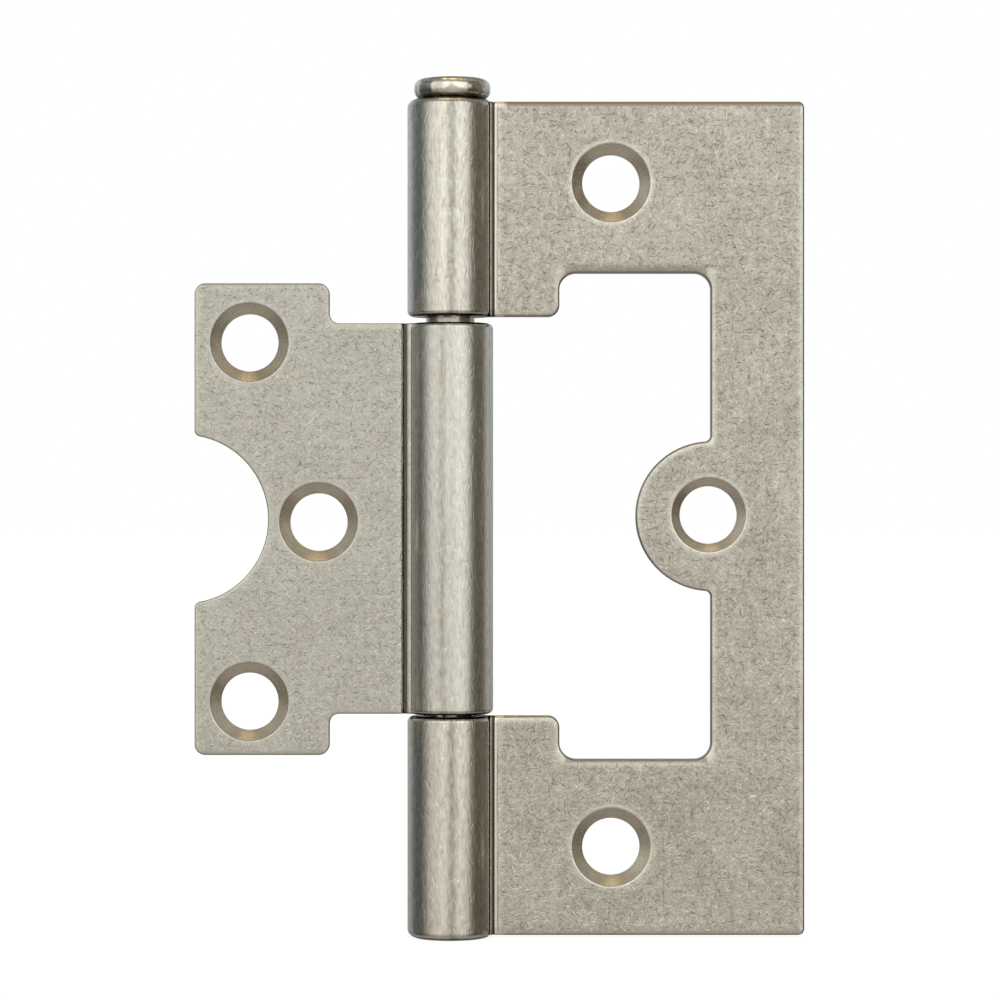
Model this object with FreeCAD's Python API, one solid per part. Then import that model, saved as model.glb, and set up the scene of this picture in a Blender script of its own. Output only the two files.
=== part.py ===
import FreeCAD, Part

import math
import os

# A flush hinge for a door, open flat. The larger leaf goes on the door frame, and the smaller leaf,
# on the door, nests in its window when the hinge is closed. Each leaf is one blanked steel sheet whose
# tongues are bent back and rolled round the pin, so that the pin's axis lies in the middle of the sheet.
#
# The shapes are built about the pin: x runs across the hinge from the pin's axis, y from the countersunk
# front face (low) to the back (high), and z along the pin from the middle of the frame leaf. Both leaves
# are built towards +x, and the door leaf is then mirrored. At the end everything is moved so that the
# origin is midway between the frame leaf's two outer screws, on its back face.

# Sheet and pin
SHEET = 2.2
PIN_DIAMETER = 5.8
BORE_CLEARANCE = 0.05
PIN_END_RECESS = 0.6
PIN_END_CHAMFER = 0.5

# Button head of the pin: a seat that widens to the full diameter, and a rounded rim with a low crown
HEAD_DIAMETER = 9.15
HEAD_HEIGHT = 2.55
HEAD_SEAT_DIAMETER = 8.35
HEAD_SEAT_HEIGHT = 1.3
HEAD_RIM_BREAK = 0.8
HEAD_CROWN = 0.1

# Rolled knuckles. Each tongue first bends back, with this inside radius, and then rolls round the bore
FRAME_BEND_INSIDE = 0.4
DOOR_BEND_INSIDE = 0.8
STRAIGHT_TIP = 0.9
SEAM_GAP = 0.15
TIP_EDGE_RADIUS = 0.25
KNUCKLE_RIM_BREAK = 0.9
KNUCKLE_RUN_IN = 2.0
OUTER_KNUCKLE_STAND_OUT = 0.3

# Broken edges of the sheet: the punch presses the front ones in more than the back ones
FRONT_EDGE_BREAK = 0.3
BACK_EDGE_BREAK = 0.15

# How far the tumbled rims of the knuckles and of the head turn, from one face to the other, in degrees
RIM_TURN = 50.0

# Door leaf: a knuckle and web, and tabs that reach past the web's ends, with a round notch between them
DOOR_KNUCKLE_HEIGHT = 46.9
DOOR_TAB_OVERHANG = 4.85
DOOR_TAB_CORNER_RADIUS = 1.3
DOOR_SHOULDER_RADIUS = 1.2
NOTCH_TIP_RADIUS = 0.7
DOOR_SCREW_TO_TAB_END = 6.75
DOOR_SCREW_TO_TAB_SIDE = 6.6
DOOR_MID_SCREW_TO_NOTCH = 6.05
DOOR_SCREW_SHIFT = -0.35

# Frame leaf: bars above and below the window and a strip beyond it, with a round lobe on the strip
FRAME_HEIGHT = 100.0
FRAME_REACH = 42.6
FRAME_STRIP = 11.4
FRAME_CORNER_RADIUS = 0.75
WINDOW_NEAR = 13.1
WINDOW_CORNER_RADIUS = 2.0
WINDOW_SHIFT = 0.25
NECK_CORNER_RADIUS = 1.4
LOBE_RADIUS = 9.0
LOBE_BLEND_RADIUS = 0.7
FRAME_SCREW_OFF_BAR_MIDDLE = 0.26
FRAME_SCREW_REACH = 19.3
LOBE_SCREW_OFF_CENTRE = 0.2
FRAME_SCREW_SHIFT = 0.4

# Clearances of the door leaf in the frame leaf, the first three with the hinge closed
NEST_SIDE_GAP = 0.5
NEST_ENDS_PLAY = 1.75
NEST_TAB_GAP = 1.4
NOTCH_GAP = 1.1
NOTCH_OFF_LOBE = 0.75
KNUCKLE_PLAY = 1.0
DOOR_END_GAP = 0.15

# Screw holes
HOLE_DIAMETER = 6.9
COUNTERSINK_DIAMETER = 9.5
LOBE_COUNTERSINK_DIAMETER = 9.0
COUNTERSINK_ANGLE = 90.0

# How far a cutter runs past the face that it cuts, and the distance under which two places are the same
OVERRUN = 1.0
SAME_POINT = 1e-6

# Worked out from the sizes above
HALF = SHEET / 2
PIN_RADIUS = PIN_DIAMETER / 2
BORE_RADIUS = PIN_RADIUS + BORE_CLEARANCE
ROLL_MIDDLE = BORE_RADIUS + HALF
ROLL_OUTSIDE = BORE_RADIUS + SHEET
DOOR_HEIGHT = DOOR_KNUCKLE_HEIGHT + 2 * DOOR_TAB_OVERHANG
FRAME_TOP = FRAME_HEIGHT / 2
WINDOW_FAR = FRAME_REACH - FRAME_STRIP
WINDOW_HEIGHT = DOOR_HEIGHT + NEST_ENDS_PLAY
NECK_GAP = DOOR_KNUCKLE_HEIGHT + KNUCKLE_PLAY
NECK_HIGH = WINDOW_SHIFT + NECK_GAP / 2
NECK_LOW = WINDOW_SHIFT - NECK_GAP / 2
PIN_SEAT = FRAME_TOP + OUTER_KNUCKLE_STAND_OUT
DOOR_REACH = WINDOW_FAR - NEST_SIDE_GAP
DOOR_TAB_NEAR = WINDOW_NEAR + NEST_TAB_GAP
DOOR_MIDDLE = NECK_LOW + DOOR_END_GAP + DOOR_KNUCKLE_HEIGHT / 2
NOTCH_CENTRE = WINDOW_FAR + NOTCH_OFF_LOBE
NOTCH_RADIUS = LOBE_RADIUS + NOTCH_GAP
FRAME_SCREW_PITCH = (FRAME_HEIGHT + WINDOW_HEIGHT) / 2 + 2 * FRAME_SCREW_OFF_BAR_MIDDLE
FRAME_MID_SCREW_REACH = WINDOW_FAR - LOBE_SCREW_OFF_CENTRE
DOOR_SCREW_PITCH = DOOR_HEIGHT - 2 * DOOR_SCREW_TO_TAB_END
DOOR_SCREW_REACH = DOOR_REACH - DOOR_SCREW_TO_TAB_SIDE
DOOR_MID_SCREW_REACH = NOTCH_CENTRE - NOTCH_RADIUS - DOOR_MID_SCREW_TO_NOTCH

Vec = FreeCAD.Vector
UP = Vec(0, 0, 1)


def unit(vector):
    """The vector's direction, one long."""
    return vector * (1 / vector.Length)


def rounded_corner(before, corner, after, radius):
    """Three points of the arc that rounds a corner: where it starts, its middle and where it ends."""
    back = unit(before - corner)
    ahead = unit(after - corner)
    half_angle = back.getAngle(ahead) / 2
    run = radius / math.tan(half_angle)
    centre = corner + unit(back + ahead) * (radius / math.sin(half_angle))
    return corner + back * run, centre + unit(corner - centre) * radius, corner + ahead * run


def tumbled_corner(before, corner, after, run):
    """Three points of the shallow arc that breaks a corner: it starts and ends run away from the corner."""
    start = corner + unit(before - corner) * run
    end = corner + unit(after - corner) * run
    middle = (start + end) * 0.5
    rise = (end - start).Length / 2 * math.tan(math.radians(RIM_TURN) / 4)
    return start, middle + unit(corner - middle) * rise, end


def outline(items):
    """A closed wire in the sheet's plane. Each item is a corner (x, z, radius) or an arc's three points."""
    def first(item):
        return item[0] if isinstance(item, list) else Vec(item[0], 0, item[1])

    def last(item):
        return item[2] if isinstance(item, list) else Vec(item[0], 0, item[1])

    pieces = []
    for i, item in enumerate(items):
        before = last(items[i - 1])
        after = first(items[(i + 1) % len(items)])
        if isinstance(item, list):
            pieces.append(item)
        elif item[2] > 0:
            pieces.append(rounded_corner(before, first(item), after, item[2]))
        else:
            pieces.append([first(item)])
    edges = []
    for piece, following in zip(pieces, pieces[1:] + pieces[:1]):
        if len(piece) == 3:
            edges.append(Part.Arc(*piece).toShape())
        if (following[0] - piece[-1]).Length > SAME_POINT:
            edges.append(Part.makeLine(piece[-1], following[0]))
    return Part.Wire(edges)


def blend_to_circle(line_x, centre, radius, blend, side):
    """Three points of the arc that blends the line x = line_x into a circle, above or below its centre."""
    across = line_x - blend - centre.x
    up = side * math.sqrt((radius + blend) ** 2 - across**2)
    blend_centre = centre + Vec(across, 0, up)
    on_line = blend_centre + Vec(blend, 0, 0)
    on_circle = centre + unit(blend_centre - centre) * radius
    middle = blend_centre + unit(on_line + on_circle - blend_centre * 2) * blend
    return on_line, middle, on_circle


def round_edge(line_x, centre, radius, blend):
    """The lobe or notch along a leaf's upright edge, from below: a blend, the circle's arc and a blend."""
    low = blend_to_circle(line_x, centre, radius, blend, -1)
    high = blend_to_circle(line_x, centre, radius, blend, 1)
    return [list(low), [low[2], centre - Vec(radius, 0, 0), high[2]], list(reversed(high))]


def plate(items, root):
    """The flat part of a leaf. The edges of both faces are broken, except at its root, where knuckles join."""
    solid = Part.Face(outline(items)).extrude(Vec(0, SHEET, 0))
    solid.translate(Vec(0, -HALF, 0))

    def rim(face_y):
        return [edge for edge in solid.Edges
                if abs(edge.BoundBox.YMin - face_y) < SAME_POINT
                and abs(edge.BoundBox.YMax - face_y) < SAME_POINT
                and edge.BoundBox.XMax > root + SAME_POINT]

    solid = solid.makeChamfer(FRONT_EDGE_BREAK, rim(-HALF))
    return solid.makeChamfer(BACK_EDGE_BREAK, rim(HALF))


def cross_section(middle, outward, low, high, rolled):
    """The sheet's cross-section in a tongue. outward points from the bore. Where the tongue is rolled, its
    outer corners are tumbled round. Its other corners are broken like the edges of the plate."""
    inner = middle - outward * HALF
    outer = middle + outward * HALF
    outer_run = KNUCKLE_RIM_BREAK if rolled else BACK_EDGE_BREAK
    runs = [FRONT_EDGE_BREAK, outer_run, outer_run, FRONT_EDGE_BREAK]
    points = [inner + UP * low, outer + UP * low, outer + UP * high, inner + UP * high]
    corners = [tumbled_corner(points[i - 1], points[i], points[(i + 1) % 4], runs[i]) for i in range(4)]
    edges = []
    for i, corner in enumerate(corners):
        is_rim = rolled and i in (1, 2)
        edges.append(Part.Arc(*corner).toShape() if is_rim else Part.makeLine(corner[0], corner[2]))
        edges.append(Part.makeLine(corner[2], corners[(i + 1) % 4][0]))
    return Part.Wire(edges)


def knuckle_start(bend_inside):
    """How far from the pin's axis the sheet leaves its plane, the bend's middle radius, and the angle at the
    pin's axis between the leaf and the place where the bend runs into the roll."""
    bend = bend_inside + HALF
    start = math.sqrt(ROLL_MIDDLE**2 + 2 * ROLL_MIDDLE * bend)
    return start, bend, math.asin(bend / (ROLL_MIDDLE + bend))


def knuckle(bend_inside, low, high, low_stand_out, high_stand_out):
    """A tongue from its root to its cut end: the run-in, the bend towards the back, the roll and the tip."""
    start, bend, lift = knuckle_start(bend_inside)
    root = start + KNUCKLE_RUN_IN
    end_low = low - low_stand_out
    end_high = high + high_stand_out
    back = Vec(0, 1, 0)

    # The tongue grows to the roll's own height and rims while it is still flat, and then it bends
    leaf_section = cross_section(Vec(root, 0, 0), back, low, high, False)
    bend_section = cross_section(Vec(start, 0, 0), back, end_low, end_high, True)
    run_in = Part.makeLoft([leaf_section, bend_section], True, True)
    bent = Part.Face(bend_section).revolve(Vec(start, bend, 0), UP, math.degrees(lift) - 90)

    # The roll goes round the back and comes forward to just short of the leaf's front face
    towards_bend = Vec(math.cos(lift), math.sin(lift), 0)
    roll_section = cross_section(towards_bend * ROLL_MIDDLE, towards_bend, end_low, end_high, True)
    reach = bend + HALF + SEAM_GAP + STRAIGHT_TIP
    short_of_leaf = math.asin(reach / (ROLL_MIDDLE + bend)) - lift
    turn = 360 - math.degrees(lift + short_of_leaf)
    roll = Part.Face(roll_section).revolve(Vec(0, 0, 0), UP, turn)

    # The last bit of the sheet stays straight, and the outer edge of its cut end is rounded
    outward = Vec(math.cos(short_of_leaf), -math.sin(short_of_leaf), 0)
    along = Vec(math.sin(short_of_leaf), math.cos(short_of_leaf), 0)
    tip_section = cross_section(outward * ROLL_MIDDLE, outward, end_low, end_high, True)
    tip = Part.Face(tip_section).extrude(along * STRAIGHT_TIP)
    corner = outward * ROLL_OUTSIDE + along * STRAIGHT_TIP
    off_edge = rounded_corner(corner - along, corner, corner - outward, TIP_EDGE_RADIUS)
    beyond = corner + (outward + along) * TIP_EDGE_RADIUS
    waste = Part.Face(Part.Wire([
        Part.Arc(*off_edge).toShape(),
        Part.makeLine(off_edge[2], beyond),
        Part.makeLine(beyond, off_edge[0]),
    ]))
    waste.translate(UP * (end_low - OVERRUN))
    tip = tip.cut(waste.extrude(UP * (end_high - end_low + 2 * OVERRUN)))
    return run_in.fuse([bent, roll, tip])


def screw_hole(x, z, rim_diameter):
    """The cutter of a countersunk screw hole: a cone from the front face to a straight hole."""
    rim = rim_diameter / 2
    hole = HOLE_DIAMETER / 2
    slope = math.tan(math.radians(COUNTERSINK_ANGLE / 2))
    cone = Part.makeCone(rim + OVERRUN * slope, hole, (rim - hole) / slope + OVERRUN,
                         Vec(x, -HALF - OVERRUN, z), Vec(0, 1, 0))
    straight = Part.makeCylinder(hole, SHEET + OVERRUN * 2, Vec(x, -HALF - OVERRUN, z), Vec(0, 1, 0))
    return cone.fuse(straight)


def screw_holes(pitch, reach, mid_reach, middle, mid_rim):
    """Cutters of a leaf's three screw holes: two in line and one at mid height."""
    return [screw_hole(reach, middle + pitch / 2, COUNTERSINK_DIAMETER),
            screw_hole(mid_reach, middle, mid_rim),
            screw_hole(reach, middle - pitch / 2, COUNTERSINK_DIAMETER)]


def frame_leaf():
    """The larger leaf: a C-shaped plate with a lobe in its window, and the upper and lower knuckles."""
    root = knuckle_start(FRAME_BEND_INSIDE)[0] + KNUCKLE_RUN_IN
    window_high = WINDOW_SHIFT + WINDOW_HEIGHT / 2
    window_low = WINDOW_SHIFT - WINDOW_HEIGHT / 2
    lobe = round_edge(WINDOW_FAR, Vec(WINDOW_FAR, 0, WINDOW_SHIFT), LOBE_RADIUS, LOBE_BLEND_RADIUS)
    items = [
        (root, FRAME_TOP, 0),
        (FRAME_REACH, FRAME_TOP, FRAME_CORNER_RADIUS),
        (FRAME_REACH, -FRAME_TOP, FRAME_CORNER_RADIUS),
        (root, -FRAME_TOP, 0),
        (root, NECK_LOW, 0),
        (WINDOW_NEAR, NECK_LOW, NECK_CORNER_RADIUS),
        (WINDOW_NEAR, window_low, WINDOW_CORNER_RADIUS),
        (WINDOW_FAR, window_low, WINDOW_CORNER_RADIUS),
        *lobe,
        (WINDOW_FAR, window_high, WINDOW_CORNER_RADIUS),
        (WINDOW_NEAR, window_high, WINDOW_CORNER_RADIUS),
        (WINDOW_NEAR, NECK_HIGH, NECK_CORNER_RADIUS),
        (root, NECK_HIGH, 0),
    ]
    holes = screw_holes(FRAME_SCREW_PITCH, FRAME_SCREW_REACH, FRAME_MID_SCREW_REACH, FRAME_SCREW_SHIFT,
                        LOBE_COUNTERSINK_DIAMETER)
    flat = plate(items, root).cut(holes)
    upper = knuckle(FRAME_BEND_INSIDE, NECK_HIGH, FRAME_TOP, 0, OUTER_KNUCKLE_STAND_OUT)
    lower = knuckle(FRAME_BEND_INSIDE, -FRAME_TOP, NECK_LOW, OUTER_KNUCKLE_STAND_OUT, 0)
    return flat.fuse([upper, lower])


def door_leaf():
    """The smaller leaf: a plate with two tabs and a round notch between them, and the middle knuckle."""
    root = knuckle_start(DOOR_BEND_INSIDE)[0] + KNUCKLE_RUN_IN
    tab_high = DOOR_MIDDLE + DOOR_HEIGHT / 2
    tab_low = DOOR_MIDDLE - DOOR_HEIGHT / 2
    knuckle_high = DOOR_MIDDLE + DOOR_KNUCKLE_HEIGHT / 2
    knuckle_low = DOOR_MIDDLE - DOOR_KNUCKLE_HEIGHT / 2
    notch = round_edge(DOOR_REACH, Vec(NOTCH_CENTRE, 0, DOOR_MIDDLE), NOTCH_RADIUS, NOTCH_TIP_RADIUS)
    items = [
        (root, knuckle_high, 0),
        (root, knuckle_low, 0),
        (DOOR_TAB_NEAR, knuckle_low, DOOR_SHOULDER_RADIUS),
        (DOOR_TAB_NEAR, tab_low, DOOR_TAB_CORNER_RADIUS),
        (DOOR_REACH, tab_low, DOOR_TAB_CORNER_RADIUS),
        *notch,
        (DOOR_REACH, tab_high, DOOR_TAB_CORNER_RADIUS),
        (DOOR_TAB_NEAR, tab_high, DOOR_TAB_CORNER_RADIUS),
        (DOOR_TAB_NEAR, knuckle_high, DOOR_SHOULDER_RADIUS),
    ]
    holes = screw_holes(DOOR_SCREW_PITCH, DOOR_SCREW_REACH, DOOR_MID_SCREW_REACH,
                        DOOR_MIDDLE + DOOR_SCREW_SHIFT, COUNTERSINK_DIAMETER)
    flat = plate(items, root).cut(holes)
    middle = knuckle(DOOR_BEND_INSIDE, knuckle_low, knuckle_high, 0, 0)
    return flat.fuse(middle).mirror(Vec(0, 0, 0), Vec(1, 0, 0))


def hinge_pin():
    """The pin, turned in one piece with its button head, which sits on the upper knuckle."""
    foot = -PIN_SEAT + PIN_END_RECESS
    head_radius = HEAD_DIAMETER / 2
    top = PIN_SEAT + HEAD_HEIGHT
    shoulder = top - HEAD_CROWN
    side = Vec(head_radius, 0, PIN_SEAT + HEAD_SEAT_HEIGHT)
    rim = tumbled_corner(side, Vec(head_radius, 0, shoulder), Vec(0, 0, shoulder), HEAD_RIM_BREAK)
    crown_radius = (rim[2].x**2 + HEAD_CROWN**2) / (2 * HEAD_CROWN)
    half_slope = math.asin(rim[2].x / crown_radius) / 2
    crown_centre = Vec(0, 0, top - crown_radius)
    crown_middle = crown_centre + Vec(math.sin(half_slope), 0, math.cos(half_slope)) * crown_radius
    points = [
        Vec(0, 0, foot),
        Vec(PIN_RADIUS - PIN_END_CHAMFER, 0, foot),
        Vec(PIN_RADIUS, 0, foot + PIN_END_CHAMFER),
        Vec(PIN_RADIUS, 0, PIN_SEAT),
        Vec(HEAD_SEAT_DIAMETER / 2, 0, PIN_SEAT),
        side,
        rim[0],
    ]
    edges = [Part.makeLine(a, b) for a, b in zip(points, points[1:])]
    edges.append(Part.Arc(*rim).toShape())
    edges.append(Part.Arc(rim[2], crown_middle, Vec(0, 0, top)).toShape())
    edges.append(Part.makeLine(Vec(0, 0, top), points[0]))
    return Part.Face(Part.Wire(edges)).revolve(Vec(0, 0, 0), UP, 360)


def one_solid(shape):
    """The shape as a single clean solid."""
    clean = shape.removeSplitter()
    if len(clean.Solids) != 1:
        raise ValueError(f"{len(clean.Solids)} solids where there should be one")
    return clean.Solids[0]


def build():
    """Writes one file for each piece, moved to the origin between the frame leaf's outer screws."""
    os.makedirs("parts", exist_ok=True)
    to_origin = Vec(-FRAME_SCREW_REACH, -HALF, -FRAME_SCREW_SHIFT)
    pieces = {"frame_leaf": frame_leaf(), "door_leaf": door_leaf(), "hinge_pin": hinge_pin()}
    for name, shape in pieces.items():
        solid = one_solid(shape)
        solid.translate(to_origin)
        solid.exportStep(f"parts/{name}.step")
        print(f"{name}: {solid.Volume:.0f} mm3, {len(solid.Faces)} faces, valid {solid.isValid()}")


build()
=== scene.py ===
"""A tumbled nickel flush hinge, opened flat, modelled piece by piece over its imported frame."""

import logging
import math
from collections.abc import Callable, Iterator, Sequence
from contextlib import contextmanager
from dataclasses import dataclass, field
from enum import Enum

import bmesh
import bpy
from mathutils import Matrix, Vector


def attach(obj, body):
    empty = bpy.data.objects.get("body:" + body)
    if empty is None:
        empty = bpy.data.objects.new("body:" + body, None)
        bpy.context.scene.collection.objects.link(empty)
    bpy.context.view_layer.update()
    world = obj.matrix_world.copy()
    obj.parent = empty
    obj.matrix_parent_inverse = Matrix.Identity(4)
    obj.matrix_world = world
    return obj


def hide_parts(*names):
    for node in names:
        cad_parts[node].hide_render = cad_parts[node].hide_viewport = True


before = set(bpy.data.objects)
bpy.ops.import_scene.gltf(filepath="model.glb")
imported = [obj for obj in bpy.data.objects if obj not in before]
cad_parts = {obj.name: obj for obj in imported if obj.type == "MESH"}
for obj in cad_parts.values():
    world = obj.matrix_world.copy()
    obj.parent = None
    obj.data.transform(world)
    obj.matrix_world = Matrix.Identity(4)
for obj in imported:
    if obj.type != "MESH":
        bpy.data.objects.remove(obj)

log = logging.getLogger("hinge")

MM = 0.001
# Where the pin's axis is in the frame of the part, in millimetres.
PIN_AXIS = Vector((-19.3, -1.1, -0.4))
# Places this many millimetres apart count as one.
NEAR = 1e-3
# How far past the pin the masks of the flat metal run on, in millimetres.
PAST_PIN = 20.0
# The sharpest turn that is shaded smooth.
SHARP_ANGLE = math.radians(38)


def at(x: float, y: float, z: float) -> Vector:
    """A place in millimetres from the pin's axis, as metres in the frame of the part."""
    return (Vector((x, y, z)) + PIN_AXIS) * MM


def from_pin(point: Vector) -> Vector:
    """A place in metres in the frame of the part, as millimetres from the pin's axis."""
    return point / MM - PIN_AXIS


class Kind(Enum):
    """What an edit-mode selection is made of."""

    VERTEX = "VERT"
    EDGE = "EDGE"
    FACE = "FACE"


@contextmanager
def editing(piece: bpy.types.Object) -> Iterator[None]:
    """Edit mode on one piece, with nothing else selected.

    Args:
        piece: the object to edit.

    Returns:
        Nothing, for as long as the block runs.
    """
    bpy.ops.object.select_all(action="DESELECT")
    piece.select_set(True)
    bpy.context.view_layer.objects.active = piece
    bpy.ops.object.mode_set(mode="EDIT")
    yield
    bpy.ops.object.mode_set(mode="OBJECT")


def pick(piece: bpy.types.Object, kind: Kind, test: Callable[[Vector], bool]) -> int:
    """Selects the vertices, edges or faces whose points all pass a test.

    Args:
        piece: the object in edit mode.
        kind: what to select.
        test: takes a point in millimetres from the pin's axis.

    Returns:
        How many were selected.
    """
    bpy.ops.mesh.select_mode(type=kind.value)
    bpy.ops.mesh.select_all(action="DESELECT")
    work = bmesh.from_edit_mesh(piece.data)
    passes = {v: test(from_pin(v.co)) for v in work.verts}
    chosen: list = []
    if kind is Kind.VERTEX:
        chosen = [v for v in work.verts if passes[v]]
    elif kind is Kind.EDGE:
        chosen = [e for e in work.edges if all(passes[v] for v in e.verts)]
    else:
        chosen = [f for f in work.faces if all(passes[v] for v in f.verts)]
    for element in chosen:
        element.select_set(True)
    bmesh.update_edit_mesh(piece.data)
    return len(chosen)


def apply_modifier(piece: bpy.types.Object, kind: str, **settings: object) -> None:
    """Adds a modifier to a piece and applies it.

    Args:
        piece: the object that gets it.
        kind: the modifier's type.
        settings: its properties.
    """
    bpy.ops.object.select_all(action="DESELECT")
    piece.select_set(True)
    bpy.context.view_layer.objects.active = piece
    modifier = piece.modifiers.new(kind.title(), kind)
    for key, value in settings.items():
        setattr(modifier, key, value)
    bpy.ops.object.modifier_apply(modifier=modifier.name)


def smooth(piece: bpy.types.Object, angle: float = SHARP_ANGLE) -> None:
    """Smooth shading over the rounded edges, with flat faces kept flat.

    Args:
        piece: the object to shade.
        angle: the sharpest turn that is still shaded smooth.
    """
    bpy.ops.object.select_all(action="DESELECT")
    piece.select_set(True)
    bpy.context.view_layer.objects.active = piece
    bpy.ops.object.shade_smooth_by_angle(angle=angle)
    apply_modifier(piece, "WEIGHTED_NORMAL", weight=100, keep_sharp=True)


@dataclass(frozen=True)
class Arc:
    """A stroke round a centre. Its turn is counter-clockwise seen from the front."""

    start: Vector
    centre: Vector
    turn: float

    @property
    def end(self) -> Vector:
        """Where the stroke ends."""
        return self.centre + Matrix.Rotation(self.turn, 3, Vector((0, -1, 0))) @ (self.start - self.centre)


def signed_turn(a: Vector, b: Vector) -> float:
    """The short way from one direction to another, counter-clockwise seen from the front."""
    return math.atan2(a.x * b.z - a.z * b.x, a.x * b.x + a.z * b.z)


@dataclass(frozen=True)
class Corner:
    """A corner of an outline, rounded where it has a radius. Millimetres."""

    x: float
    z: float
    radius: float = 0.0

    @property
    def place(self) -> Vector:
        """The sharp corner."""
        return Vector((self.x, 0, self.z))

    first = last = place

    def strokes(self, before: Vector, after: Vector) -> list[Arc]:
        """The arc that rounds the corner, or one of no size at a sharp corner.

        Args:
            before: where the outline comes from.
            after: where it goes next.

        Returns:
            One arc.
        """
        if not self.radius:
            return [Arc(self.place, self.place, 0.0)]
        back = (before - self.place).normalized()
        ahead = (after - self.place).normalized()
        half = back.angle(ahead) / 2
        start = self.place + back * (self.radius / math.tan(half))
        centre = self.place + (back + ahead).normalized() * (self.radius / math.sin(half))
        return [Arc(start, centre, math.copysign(math.pi - 2 * half, signed_turn(-back, ahead)))]


@dataclass(frozen=True)
class Scallop:
    """A lobe or notch that bulges towards the pin from an upright edge, drawn upwards. Millimetres."""

    line_x: float
    centre_x: float
    centre_z: float
    radius: float
    blend: float

    def _blend_centre(self, side: int) -> Vector:
        """The centre of the blend below (-1) or above (1) the scallop.

        Args:
            side: which of the two blends.

        Returns:
            Its centre, in millimetres.
        """
        across = self.line_x - self.blend - self.centre_x
        up = side * math.sqrt((self.radius + self.blend) ** 2 - across**2)
        return Vector((self.centre_x + across, 0, self.centre_z + up))

    @property
    def first(self) -> Vector:
        """Where it leaves the upright edge."""
        return self._blend_centre(-1) + Vector((self.blend, 0, 0))

    @property
    def last(self) -> Vector:
        """Where it comes back to the upright edge."""
        return self._blend_centre(1) + Vector((self.blend, 0, 0))

    def strokes(self, before: Vector, after: Vector) -> list[Arc]:
        """A blend, the long arc and a blend.

        Args:
            before: where the outline comes from; not used.
            after: where it goes next; not used.

        Returns:
            Three arcs, drawn upwards.
        """
        centre = Vector((self.centre_x, 0, self.centre_z))
        low, high = self._blend_centre(-1), self._blend_centre(1)
        on_low = centre + (low - centre).normalized() * self.radius
        on_high = centre + (high - centre).normalized() * self.radius
        short = signed_turn(on_low - centre, on_high - centre)
        long_way = short - 2 * math.pi if short > 0 else short
        return [
            Arc(self.first, low, signed_turn(self.first - low, on_low - low)),
            Arc(on_low, centre, long_way),
            Arc(on_high, high, signed_turn(on_high - high, self.last - high)),
        ]


def strokes_of(items: Sequence[Corner | Scallop]) -> list[Arc]:
    """The arcs of a closed outline, in order.

    Args:
        items: its corners and scallops.

    Returns:
        The arcs that straight strokes join.
    """
    strokes: list[Arc] = []
    for i, item in enumerate(items):
        strokes += item.strokes(items[i - 1].last, items[(i + 1) % len(items)].first)
    return strokes


def closing_corners(items: Sequence[Corner | Scallop], reach: float) -> list[Vector]:
    """The centres of the outward corners of an outline that an inset closes up.

    Args:
        items: the outline.
        reach: how far in the inset goes.

    Returns:
        The centres of the arcs of just this radius.
    """
    strokes = strokes_of(items)
    following = strokes[1:] + strokes[:1]
    area = sum(a.start.x * b.start.z - b.start.x * a.start.z for a, b in zip(strokes, following))
    return [s.centre for s in strokes if s.turn * area > 0 and abs((s.start - s.centre).length - reach) < NEAR]


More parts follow.
